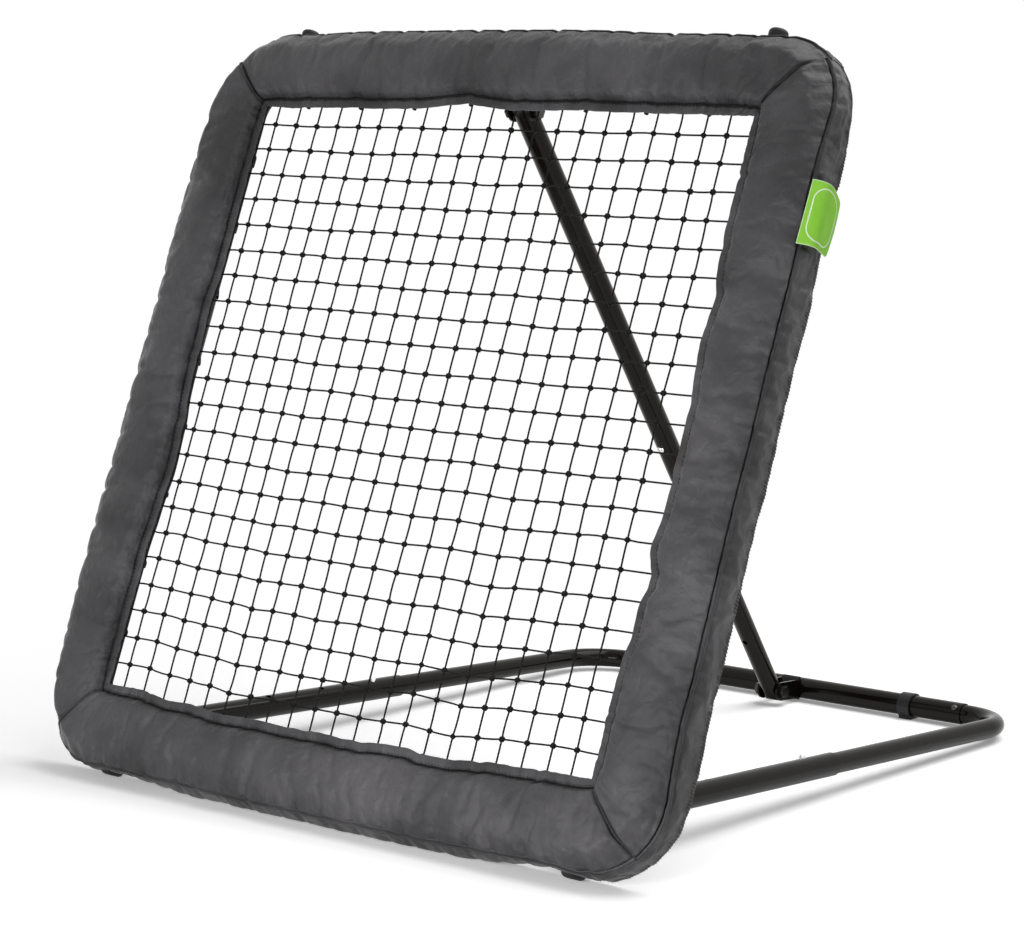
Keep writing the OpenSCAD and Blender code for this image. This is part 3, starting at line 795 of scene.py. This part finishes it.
def pad_place(side, run, out, back):
    """A place on a pad: run goes along its outer edge, and the sections fan out at the ends."""
    run, out, back = np.broadcast_arrays(*(np.asarray(x, float) for x in (run, out, back)))
    size, sign = np.abs(run), np.sign(run)
    radius = corner_radius(side, run)
    half = HALF + PAD_W - radius
    reach = half + radius * math.pi / 4
    turn = np.maximum(size - half, 0) / radius
    edge = np.minimum(size, half) + radius * np.sin(turn)
    edge_out = PAD_W - radius * (1 - np.cos(turn))
    beyond = np.maximum(size - FAN_FROM, 0) * (HALF - FAN_FROM) / (reach - FAN_FROM)
    inner = np.minimum(size, FAN_FROM) + beyond
    share = out / PAD_W
    along = sign * (inner + (edge - inner) * share) * MITRE_SHARE
    return on_side(side, along, edge_out * share, back)


print("mitres at", [[round(r / MM) for r in ends(side)] for side in range(4)])

# %% [markdown]
# ## How the cover is drawn in
#
# The stitching draws the cloth in at uneven places, roughly every 36 mm. One smooth function
# gives that draw along a side, so that the cover, its piping and its stitches all agree on it.
# From each draw a soft fold runs slanting into the panel beside it and fades out. The hem
# follows the pulled cord, with a small kink at each tie.

# %% Draws and folds
OUTER, INNER = 0, 1
SEAM_OUT = [88 * MM, 13 * MM]
DRAW_PITCH, DRAW_WIDTH, DRAW_DEPTH = 36 * MM, 4.6 * MM, 2.9 * MM
FOLD_DEPTH, FOLD_LENGTH = 2.7 * MM, 22 * MM
SEAM_BACK = np.array([3.2, 0, 0, 4.2]) * MM
LABEL_PULL, LABEL_PULL_AT, LABEL_PULL_WIDTH = 2.6 * MM, 255 * MM, 26 * MM
CORNER_BACK, CORNER_BACK_FROM, CORNER_BACK_TO = 10 * MM, 285 * MM, 385 * MM
KINK_WIDTH, KINK_OUT, KINK_BACK = 6 * MM, 1.2 * MM, 0.9 * MM
EDGES = [
    [(-290, -3, 50), (215, -4, 70), (310, -5, 50)],
    [(-360, -2.5, 60)],
    [(20, 0.5, 120), (295, -2, 60), (190, -1.5, 60), (-290, -4, 62), (-180, -1, 50)],
    [(-20, 2.6, 120), (170, 2.2, 70), (-210, 1.5, 60)],
]
TIE_PITCH = OPENING / 17
TIES = [way * (2 * k + 1) * TIE_PITCH for k in range(4) for way in (-1, 1)]


def draws(side, seam):
    """Places along a side where a seam draws in: each one's place, strength and width."""
    low, high = ends(side)
    count = int((high - low) / DRAW_PITCH)
    seed = side + 5 * seam
    for k in range(count):
        middle = low + (k + 0.5) * (high - low) / count
        shift = 0.42 * DRAW_PITCH * wander(11 + seed, k * 1.7)
        strength = 0.3 + 1.3 * abs(wander(23 + seed, k * 1.3 + 0.4))
        yield middle + shift, strength, DRAW_WIDTH * (1 + 0.8 * wander(37 + seed, k * 1.9))


def draw_in(side, seam, run):
    """Depth by which the stitching draws in at each run, in metres."""
    depth = np.zeros_like(run)
    for middle, strength, width in draws(side, seam):
        near = (run - middle) / width
        depth += strength * np.exp(-near ** 2) - 0.25 * strength * np.exp(-(near / 2.6) ** 2)
    return DRAW_DEPTH * depth


def folds(side, runs, outs):
    """Depth of the folds that run from both seams into the front panel, in metres."""
    depth = np.zeros_like(runs)
    for seam, edge in enumerate(SEAM_OUT):
        away = np.abs(outs - edge)
        seed = side + 5 * seam
        for k, (middle, strength, width) in enumerate(draws(side, seam)):
            slant = 0.9 * wander(51 + seed, k * 2.1)
            near = (runs - middle - slant * away) / (width + 0.16 * away)
            length = FOLD_LENGTH * (1 + 0.9 * wander(57 + seed, k * 1.1))
            depth += (strength - 0.25) * np.exp(-near ** 2 - away / length)
    return FOLD_DEPTH * depth


def seam_shift(side, run):
    """How far back the outer seam lies beside its place in the section, in metres."""
    size = np.abs(run)
    drift = waves(run, (1.6 * MM, 63 + side, 0.12))
    tight = -LABEL_PULL * np.exp(-((size - LABEL_PULL_AT) / LABEL_PULL_WIDTH) ** 2) * (side == 1)
    corner = CORNER_BACK * ramp(size, CORNER_BACK_FROM, CORNER_BACK_TO)
    return SEAM_BACK[side] + drift + tight + corner


def edge_shift(side, run):
    """How far the outer edge lies outside its line, in metres."""
    return sum(reach * MM * hump(run, middle, width) for middle, reach, width in EDGES[side])


def seam_drift(side, run):
    return waves(run, (0.9 * MM, 60 + side, 0.09))


def seam_place(side, run, out, back):
    """Place on the drawn-in outer seam."""
    draw = draw_in(side, OUTER, run)
    return pad_place(side, run, out - 0.8 * draw + seam_drift(side, run) + edge_shift(side, run),
                     back + 0.45 * draw + seam_shift(side, run))


def hem_wave(side, run):
    """How far the hem's edge moves out and back at each run, in metres."""
    out = waves(run, (1.0 * MM, 70 + side, 0.05), (0.9 * MM, 74 + side, 0.009))
    back = waves(run, (1.2 * MM, 80 + side, 0.05), (1.0 * MM, 84 + side, 0.009))
    out += hem_pull(side, run)
    for tie in TIES:
        kink = np.exp(-((run - tie) / KINK_WIDTH) ** 2)
        out += KINK_OUT * kink
        back += KINK_BACK * kink
    return out, back


print("seam shift, mm, right side:", (seam_shift(1, np.linspace(-0.4, 0.4, 9)) / MM).round(1))

# %% [markdown]
# The outer edge isn't quite straight either: a short list gives each side's places where it lies
# inside or outside its line. The lower side hangs down a little between its seam and its rear
# edge, the side panel gathers into ridges above and below the label, and the rear edge of every
# side panel wobbles where the overlock stretched it.

# %% The grid of a padded side
HANG = np.array([0, 0.5, 6.2, 0]) * MM
GATHERS, GATHER_DEPTH = [(-312, 30, 9.5), (-172, 22, 8)], 1.5 * MM
FRONT_LUMPS, SIDE_LUMPS, HANG_LUMPS = 1.5 * MM, 0.4 * MM, 1.2 * MM
MITRE_DIP, MITRE_WIDTH, MITRE_GATHER_AND_SHADE = 4.4 * MM, 3.2 * MM, 11 * MM
FLOOR_GAP = 0.8 * MM


def gathers(run, back):
    """Ridges along the right side's panel, above and below the label, in metres."""
    total = 0.0
    for middle, width, pitch in GATHERS:
        slanted = back / MM + 0.05 * (run / MM - middle)
        total = total + hump(run, middle, width) * np.sin(math.tau * slanted / pitch)
    return GATHER_DEPTH * total


def rear_wave(side, run):
    """How far the rear edge lies out and back of its place, in metres."""
    return (waves(run, (2.4 * MM, 91 + side, 0.06), (0.8 * MM, 95 + side, 0.012)),
            waves(run, (1.2 * MM, 99 + side, 0.04), (0.6 * MM, 105 + side, 0.01)))


def unevenness(side, run, out):
    """Soft lumps of the filling, -1 to 1."""
    return noise.noise(Vector((run / 0.075, out / 0.05, 3.7 * side + 0.5)))


def pad_grid(side):
    """A pad's grid, one row of places for each section, with each row's run and two shades."""
    low, high = ends(side)
    run = np.linspace(low, high, 2 * round((high - low) / RUN_STEP / 2) + 1)
    runs, outs = np.meshgrid(run, OUT, indexing="ij")
    backs = np.broadcast_to(BACK, runs.shape).copy()
    column = run[:, None]
    to_mitre = np.minimum(column - low, high - column)
    mitre = np.exp(-to_mitre / MITRE_WIDTH)
    inner, outer = (draw_in(side, seam, run)[:, None] for seam in (INNER, OUTER))
    draw = np.where(OUT < 30 * MM, -0.6 * inner, outer)

    # the front panel, its seam and its mitres
    panel = ramp(OUT, 14 * MM, 20 * MM) * FRONT_SIDE
    lumps = np.array([[unevenness(side, r, o) for o in OUT] for r in run])
    front = panel * (folds(side, runs, outs) + FRONT_LUMPS * lumps)
    backs += front + SIDE_PANEL * SIDE_LUMPS * lumps
    backs += 0.45 * np.abs(draw) * PUCKER + NEAR_SEAM * seam_shift(side, run)[:, None]
    backs += MITRE_DIP * mitre * FRONT_SIDE * (1 - NEAR_SEAM) * ramp(OUT, 8 * MM, 16 * MM)
    edge = ramp(OUT, 40 * MM, 86 * MM) * edge_shift(side, column)
    outs = outs - 0.8 * draw * PUCKER + NEAR_SEAM * seam_drift(side, run)[:, None] + edge

    # the side panel, which hangs and gathers
    hang = SIDE_PANEL * np.sin(math.pi * np.clip((BACK + 2 * MM) / (38 * MM), 0, 1))
    middle = 1 - ramp(np.abs(column), 170 * MM, 300 * MM)
    ridges = (side == 1) * gathers(column, BACK)
    outs = outs + hang * (HANG[side] * middle + HANG_LUMPS * lumps + ridges)

    # the rear edge and the hem
    wave_out, wave_back = rear_wave(side, run)
    rear = (OUT > 78 * MM) * ramp(BACK, 22 * MM, 33 * MM)
    outs = outs + rear * wave_out[:, None]
    backs += rear * wave_back[:, None]
    wave_out, wave_back = hem_wave(side, run)
    outs = outs + wave_out[:, None] * (1 - ramp(OUT, 12 * MM, 46 * MM))
    backs += wave_back[:, None] * np.clip(1.4 - OUT / (9 * MM), 0, 1)

    places = pad_place(side, runs, outs, backs)
    places[..., 2] = np.maximum(places[..., 2], FLOOR_GAP)
    near_end = np.exp(-to_mitre / MITRE_GATHER_AND_SHADE)
    # Returned masks: the valleys and mitre ends, and the stretch near seams and mitres, where the
    # cloth's colour paints shade.
    return (places, run, np.maximum(IN_VALLEY, mitre * FRONT_SIDE),
            np.maximum(GATHER_AND_PAINTED_SHADE, near_end * FRONT_SIDE))


def pad_mesh(side):
    """Closed grid mesh of one padded side, with UVs in metres along it and round it."""
    places, run, *shades = pad_grid(side)
    rows, points = places.shape[:2]
    faces = [(i * points + j, (i + 1) * points + j, (i + 1) * points + (j + 1) % points,
              i * points + (j + 1) % points) for i in range(rows - 1) for j in range(points)]
    faces.append(tuple(range(points)))
    faces.append(tuple((rows - 1) * points + j for j in reversed(range(points))))
    mesh = bpy.data.meshes.new("pad_" + SIDES[side])
    mesh.from_pydata(places.reshape(-1, 3).tolist(), [], faces)
    steps = np.roll(section[:, :2], -1, 0) - section[:, :2]
    around = np.concatenate(([0], np.cumsum(np.hypot(*steps.T))))
    uv = mesh.uv_layers.new(name="cloth")
    for face in mesh.polygons[:-2]:
        last = face.index % points == points - 1
        for loop in face.loop_indices:
            row, point = divmod(mesh.loops[loop].vertex_index, points)
            uv.data[loop].uv = (run[row], around[-1] if last and point == 0 else around[point])
    crease = mesh.attributes.new("crease_edge", "FLOAT", "EDGE")
    for edge in mesh.edges:
        first, second = (v // points for v in edge.vertices)
        crease.data[edge.index].value = float(first == second and first in (0, rows - 1))
    # The two masks go into the mesh, for the painted shade in the cloth's colour.
    for name, shade in zip(("seam", "gather_and_painted_shade"), shades):
        values = mesh.attributes.new(name, "FLOAT", "POINT").data
        values.foreach_set("value", shade.ravel().astype(np.float32))
    obj = add_to_scene("pad_cover_" + SIDES[side], mesh)
    held = obj.vertex_groups.new(name="held")
    for row in range(rows):
        firm = max(0, 1 - min(row, rows - 1 - row) / 3)
        for point in range(points):
            held.add([row * points + point], max(HELD[point], firm), "REPLACE")
    only(obj)
    bpy.ops.object.mode_set(mode="EDIT")
    bpy.ops.mesh.select_all(action="SELECT")
    bpy.ops.mesh.normals_make_consistent(inside=False)
    bpy.ops.object.mode_set(mode="OBJECT")
    return obj


pads = [pad_mesh(side) for side in range(4)]
print("pads:", [len(p.data.vertices) for p in pads], "points each")

# %% [markdown]
# All four covers are simulated together, in twenty frames. The cloth is 3.5 % larger than the
# section it is held to, so it buckles; the pressure pushes it out; and no point may move more
# than the cap, so that the foam stays within its real depth.

# %% Simulate the stuffed covers
FRAMES, PRESSURE, EXTRA_CLOTH, CAP = 20, 3.6, 0.035, 3.6 * MM


def coordinates(mesh):
    places = np.empty(len(mesh.vertices) * 3)
    mesh.vertices.foreach_get("co", places)
    return places.reshape(-1, 3)


def set_coordinates(mesh, places):
    mesh.vertices.foreach_set("co", places.ravel())
    mesh.update()


def add_cloth(obj):
    modifier = obj.modifiers.new("stuffing", "CLOTH")
    settings = modifier.settings
    settings.quality = 6
    settings.mass = 0.12
    settings.tension_stiffness = settings.compression_stiffness = 14
    settings.shear_stiffness = 6
    settings.bending_stiffness = 0.35
    settings.air_damping = 2
    settings.use_pressure = True
    settings.uniform_pressure_force = PRESSURE
    settings.shrink_min = -EXTRA_CLOTH
    settings.vertex_group_mass = "held"
    settings.effector_weights.gravity = 0
    modifier.collision_settings.use_self_collision = False
    modifier.point_cache.frame_end = FRAMES


def stuff(objs):
    """Runs the simulation on the covers, caps it and keeps the result in their meshes."""
    for obj in objs:
        add_cloth(obj)
    for step in range(1, FRAMES + 1):
        bpy.context.scene.frame_set(step)
    graph = bpy.context.evaluated_depsgraph_get()
    for obj in objs:
        start = coordinates(obj.data)
        moved = coordinates(obj.evaluated_get(graph).data) - start
        size = np.linalg.norm(moved, axis=1)
        share = np.minimum(1, CAP * np.tanh(size / CAP) / np.maximum(size, 1e-9))
        only(obj)
        bpy.ops.object.modifier_remove(modifier="stuffing")
        places = start + moved * share[:, None]
        places[:, 2] = np.maximum(places[:, 2], FLOOR_GAP)
        set_coordinates(obj.data, places)
        print(obj.name, "moved up to", round(size.max() / MM, 1), "mm before the cap")
    bpy.context.scene.frame_set(1)


stuff(pads)

for side, pad in enumerate(pads):
    only(pad)
    bpy.ops.object.modifier_add(type="SUBSURF")
    pad.modifiers[0].levels = pad.modifiers[0].render_levels = 1
    bpy.ops.object.modifier_apply(modifier=pad.modifiers[0].name)
    bpy.ops.object.shade_smooth_by_angle(angle=math.radians(70))
    pad.vertex_groups.clear()
    pad.data.materials.append(cloth)
    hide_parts("pad_" + SIDES[side])
    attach(pad, "target_frame")
print("covers:", [len(p.data.polygons) for p in pads], "faces each")

# %% [markdown]
# ## Piping, mitre seams and stitches
#
# The front panel meets the side panel in a seam with a thin piped ridge, and the four covers
# meet in diagonal seams at the corners. Both are thin folded strips of the same cloth, so they
# are swept along the drawn-in seam lines that the covers follow.

# %% Piping along the outer seams
PIPING_R = 1.1 * MM


def sewn_on(obj):
    """A small piece of the cover: it rides with the target."""
    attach(obj, "target_frame")
    return obj


for side in range(4):
    run = np.linspace(*ends(side), 320)
    path = seam_place(side, run, 89.5 * MM, -0.7 * MM)
    sewn_on(strands("piping_" + SIDES[side], [path.tolist()], PIPING_R, cloth, 8))
print("piping:", len(run), "places a side, radius", PIPING_R / MM, "mm")

# %% Diagonal seams at the corners
MITRE_R, MITRE_ASIDE, MITRE_SUNK = 0.9 * MM, 1.5 * MM, 1.6 * MM
RIDGE = FRONT_SIDE & (OUT > 8 * MM) & (OUT < 88 * MM) & (IN_VALLEY < 0.5)
for side in range(4):
    outs, backs = OUT[RIDGE], BACK[RIDGE]
    high = ends(side)[1]
    shift = NEAR_SEAM[RIDGE] * seam_shift(side, np.array([high]))[0]
    wave = waves(outs, (0.6 * MM, 31 + side, 0.02))
    path = pad_place(side, high - MITRE_ASIDE + wave, outs, backs + shift + MITRE_SUNK)
    name = "mitre_seam_%s_%s" % (SIDES[side], SIDES[(side + 1) % 4])
    sewn_on(strands(name, [path.tolist()], MITRE_R, cloth, 8))
print("mitre seams:", 4)

# %% [markdown]
# The hem is closed by a row of short stitches beside the valley. One stitch is a small bent
# capsule: a cylinder whose ends are drawn in and pushed down. It is modelled once and copied.

# %% Hem stitches
STITCH_LENGTH, STITCH_R, STITCH_OUT = 3.0 * MM, 0.3 * MM, 8.2 * MM


def stitch_model(length, radius, sides=6, dip=0.35 * MM):
    """A thread along X that dives into the cloth at both ends; Z points out of the cloth."""
    bpy.ops.object.select_all(action="DESELECT")
    bpy.ops.mesh.primitive_cylinder_add(vertices=sides, radius=radius, depth=length,
                                        rotation=(0, math.radians(90), 0))
    bpy.ops.object.transform_apply(location=True, rotation=True, scale=True)
    model = bpy.context.object
    bpy.ops.object.mode_set(mode="EDIT")
    for x in (-length / 6, length / 6):
        bpy.ops.mesh.select_all(action="SELECT")
        bpy.ops.mesh.bisect(plane_co=(x, 0, 0), plane_no=(1, 0, 0))
    grid = bmesh.from_edit_mesh(model.data)
    for vertex in grid.verts:
        share = abs(vertex.co.x) / (length / 2)
        vertex.co.z -= dip * share ** 2 * 2
        if share > 0.9:
            vertex.co.y *= 0.5
    bmesh.update_edit_mesh(model.data)
    bpy.ops.object.mode_set(mode="OBJECT")
    return model


for side in range(4):
    low, high = ends(side)
    run = np.arange(low + 6 * MM, high - 6 * MM, STITCH_PITCH)
    wave_out, wave_back = hem_wave(side, run)
    lift = wave_back * 0.45 - 1.4 * MM - STITCH_R * 0.4
    place = pad_place(side, run, STITCH_OUT + wave_out, lift)
    way = pad_place(side, run + MM, STITCH_OUT + wave_out, lift) - place
    places = [turned(p, w + 0.25 * MM * wander(side, r, 0.003) * side_axes(side)[1], -BACKWARD)
              for p, w, r in zip(place, way, run)]
    model = stitch_model(STITCH_LENGTH, STITCH_R)
    sewn_on(copies("hem_stitches_" + SIDES[side], model, places, thread_dark))
print("hem stitches:", len(places), "a side")

# %% [markdown]
# The side panel's raw edge at the back is overlocked: a thread wraps the edge every few
# millimetres. Each wrap is a short swept curve over the edge.

# %% Overlocked rear edges
OVERLOCK_PITCH, OVERLOCK_R = 3.4 * MM, 0.34 * MM
WRAP = [(90.5, 30.5), (90.8, 33.8), (90.2, 36.5), (87.5, 37.5), (84.4, 37.0)]
WRAP_OUT, WRAP_BACK = np.array(WRAP).T * MM
for side in range(4):
    wraps = []
    low, high = ends(side)
    for run in np.arange(low + 3 * MM, high - 3 * MM, OVERLOCK_PITCH):
        at = np.array([run])
        wave_out, wave_back = rear_wave(side, at)
        draw = draw_in(side, OUTER, at)
        lean = 1.5 * MM * np.linspace(-1, 1, len(WRAP)) * (1 + wander(side + 3, run, 0.004))
        outs = WRAP_OUT - 0.6 * draw + wave_out + edge_shift(side, at)
        place = pad_place(side, run + lean, outs, WRAP_BACK + 0.3 * draw + wave_back)
        place[..., 2] = np.maximum(place[..., 2], FLOOR_GAP)
        wraps.append(place.tolist())
    sewn_on(strands("overlock_" + SIDES[side], wraps, OVERLOCK_R, thread_grey, 6))
print("overlock wraps:", len(wraps), "a side")

# %% [markdown]
# ## Cord and ties behind the hem
#
# A 6 mm cord runs round the net inside the hem, and short ties lash it to the frame's tube. From
# the front only a few knots peek past the hem; from behind the lashings show. Each tie is two
# turns of thin cord round both, in the shape a tight belt takes on two rollers, and a knot.

# %% Border cord
CORD_R, CORD_OUT, CORD_CORNER = 3 * MM, 8 * MM, 12 * MM
TUBE_R, TUBE_OUT, TUBE_BACK = 12.5 * MM, 39.8 * MM, 24 * MM
cord_run = HALF + CORD_OUT - CORD_CORNER
path = []
for side in range(4):
    along = np.linspace(-cord_run, cord_run, 90)
    pull = hem_pull(side, along) * (1 - ramp(np.abs(along), cord_run - 30 * MM, cord_run))
    path.extend(on_side(side, along, CORD_OUT + pull, NET_BACK))
    for turn in np.radians((15, 30, 45, 60, 75)):
        path.append(on_side(side, cord_run + CORD_CORNER * math.sin(turn),
                            CORD_OUT - CORD_CORNER * (1 - math.cos(turn)), NET_BACK))
border = sewn_on(strands("net_border_cord", [path], CORD_R, rope, 12, closed=True))
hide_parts("net_cord")
print("border cord:", round(4 * 2 * cord_run, 2), "m of straight run")

# %% Ties
TIE_R, TIE_KNOT_R, TIE_RING = 0.8 * MM, 1.1 * MM, 1.7 * MM
KNOT_OUT, KNOT_FRONT = 3.0 * MM, 1.5 * MM


def belt(out_a, back_a, r_a, out_b, back_b, r_b, count=9):
    """Closed outline round two circles, as out and back."""
    way = math.atan2(back_b - back_a, out_b - out_a)
    flare = math.pi / 2 + math.asin((r_b - r_a) / math.hypot(out_b - out_a, back_b - back_a))
    small = np.linspace(way + flare, way + math.tau - flare, count)
    large = np.linspace(way - flare, way + flare, 2 * count)
    return (np.concatenate((out_a + r_a * np.cos(small), out_b + r_b * np.cos(large))),
            np.concatenate((back_a + r_a * np.sin(small), back_b + r_b * np.sin(large))))


for side in range(4):
    loops = []
    knots = []
    along = side_axes(side)[0]
    for tie in TIES:
        pull = float(hem_pull(side, tie))
        outs, backs = belt(CORD_OUT + pull, NET_BACK, CORD_R + TIE_R,
                           TUBE_OUT, TUBE_BACK, TUBE_R + TIE_R)
        for shift in (-TIE_R, TIE_R):
            slant = shift * (1 + 0.4 * np.sin(np.linspace(0, math.tau, len(outs))))
            loops.append(on_side(side, tie + slant, outs, backs).tolist())
        middle = on_side(side, tie, KNOT_OUT + pull, NET_BACK - KNOT_FRONT)
        for tilt in (0.7, -0.7):
            rise = math.cos(tilt) * UPWARD + math.sin(tilt) * BACKWARD
            knots.append([middle + TIE_RING * (math.cos(a) * along + math.sin(a) * rise)
                          for a in np.linspace(0, math.tau, 9)[:-1]])
    lashing = strands("ties_lashing_" + SIDES[side], loops, TIE_R, tie_cord, 8, closed=True)
    knot_lump = strands("ties_knots_" + SIDES[side], knots, TIE_KNOT_R, tie_cord, 6, closed=True)
    only(lashing)
    knot_lump.select_set(True)
    bpy.ops.object.join()
    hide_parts("ties_" + SIDES[side])
    sewn_on(lashing)
print("ties:", len(TIES), "a side")

# %% [markdown]
# ## The sewn label
#
# A lime satin tab is caught in the right side's outer seam. It is a rectangle of ribbon that
# springs out of the seam, bends back over the side panel and droops a little at its free end,
# whose corners are cut round. It carries only a thin pale outline and a pale rim. A grid bent
# along a turning heading gives the sheet; UVs in metres place the outline in its finish.

# %% Label
LABEL_LONG, LABEL_TALL = 50 * MM, 64 * MM
LABEL_FOOT = 200 * MM
LABEL_CORNER = 5 * MM
LABEL_DROOP, LABEL_CURL = 8.5 * MM, 1.6 * MM
SPRING_ANGLE, BEND_ANGLE = 66, 80
SEWN_OUT, SEWN_BACK = 87.6 * MM, -6.4 * MM
reach = np.linspace(0, 1, 201)
heading = np.radians(SPRING_ANGLE - BEND_ANGLE * ramp(reach, 0.1, 0.55))
label_out = SEWN_OUT + np.cumsum(np.sin(heading)) * LABEL_LONG / len(reach)
label_back = SEWN_BACK + np.cumsum(np.cos(heading)) * LABEL_LONG / len(reach)


def label_place(along, height):
    """A place on the tab, along it from the seam and height up the seam, both in metres."""
    share = along / LABEL_LONG
    top = height / LABEL_TALL
    droop = LABEL_DROOP * share ** 2 * top + 0.6 * MM * share * wander(3, height, 0.03)
    curl = LABEL_CURL * math.sin(math.pi * top) * share ** 2
    out, back = (float(np.interp(share, reach, x)) for x in (label_out, label_back))
    return on_side(1, -(LABEL_FOOT + height - droop), out + curl + 2 * MM * top, back)


def rounded_corner(x, y):
    """Moves a place of the flat tab inwards at the free end's two square corners."""
    up = y - LABEL_TALL / 2
    past = np.array((x - (LABEL_LONG - LABEL_CORNER), abs(up) - (LABEL_TALL / 2 - LABEL_CORNER)))
    if past.min() <= 0:
        return x, y
    past *= past.max() / np.hypot(*past)
    return (LABEL_LONG - LABEL_CORNER + past[0],
            LABEL_TALL / 2 + math.copysign(LABEL_TALL / 2 - LABEL_CORNER + past[1], up))


bpy.ops.object.select_all(action="DESELECT")
bpy.ops.mesh.primitive_grid_add(x_subdivisions=30, y_subdivisions=34, size=1)
label = bpy.context.object
label.name = "sewn_label"
label.data.uv_layers[0].name = "ribbon"
flat = [rounded_corner((v.co.x + 0.5) * LABEL_LONG, (v.co.y + 0.5) * LABEL_TALL)
        for v in label.data.vertices]
for loop in label.data.loops:
    label.data.uv_layers[0].data[loop.index].uv = flat[loop.vertex_index]
for vertex, place in zip(label.data.vertices, flat):
    vertex.co = label_place(*place)
only(label)
bpy.ops.object.modifier_add(type="SOLIDIFY")
label.modifiers[0].thickness = 0.5 * MM
label.modifiers[0].offset = 0
bpy.ops.object.modifier_apply(modifier=label.modifiers[0].name)
bpy.ops.object.shade_smooth_by_angle(angle=math.radians(50))


OUTLINE_R, OUTLINE_IN = 13 * MM, (5.5 * MM, 6 * MM)
RIM = 1.1 * MM
RIB_PITCH = 0.45 * MM


def ribbon():
    shader = new_material("label_ribbon")
    along, up, _ = shader.split(shader.uv())
    sizes = LABEL_LONG / 2, LABEL_TALL / 2
    away = [(way - half).size() for way, half in zip((along, up), sizes)]
    past_x, past_y = ((far - (half - inside - OUTLINE_R)).at_least(0.0)
                      for far, half, inside in zip(away, sizes, OUTLINE_IN))
    edge = (past_x ** 2.0 + past_y ** 2.0) ** 0.5 - OUTLINE_R
    line = 1 - edge.size().between(0.45 * MM, 0.85 * MM)
    rim_x, rim_y = (far - (half - RIM) for far, half in zip(away, sizes))
    rim = rim_x.at_least(rim_y).between(0.0, 0.6 * MM)
    satin = (up * (math.tau / RIB_PITCH)).wave() * 0.5 + 0.5
    cloud = shader.noise(shader.place(), 60, 3)
    green = shader.mix(cloud, (0.21, 0.56, 0.03), (0.32, 0.66, 0.09))
    pale = (line * 0.9).at_least(rim * 0.55)
    return shader.surface(Base_Color=shader.mix(pale, green, (0.8, 0.88, 0.72)),
                          Roughness=0.5 + 0.12 * satin, Normal=shader.bump(satin, 0.00004, 0.35),
                          Specular_IOR_Level=0.1)


label.data.materials.append(ribbon())
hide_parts("label")
sewn_on(label)
print("label, mm:", round(LABEL_LONG / MM), "by", round(LABEL_TALL / MM))

low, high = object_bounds()
{"cad": [list(cad_low), list(cad_high)], "visual": [list(low), list(high)]}
print("dressed, size in mm:", [round(x / MM) for x in high - low])
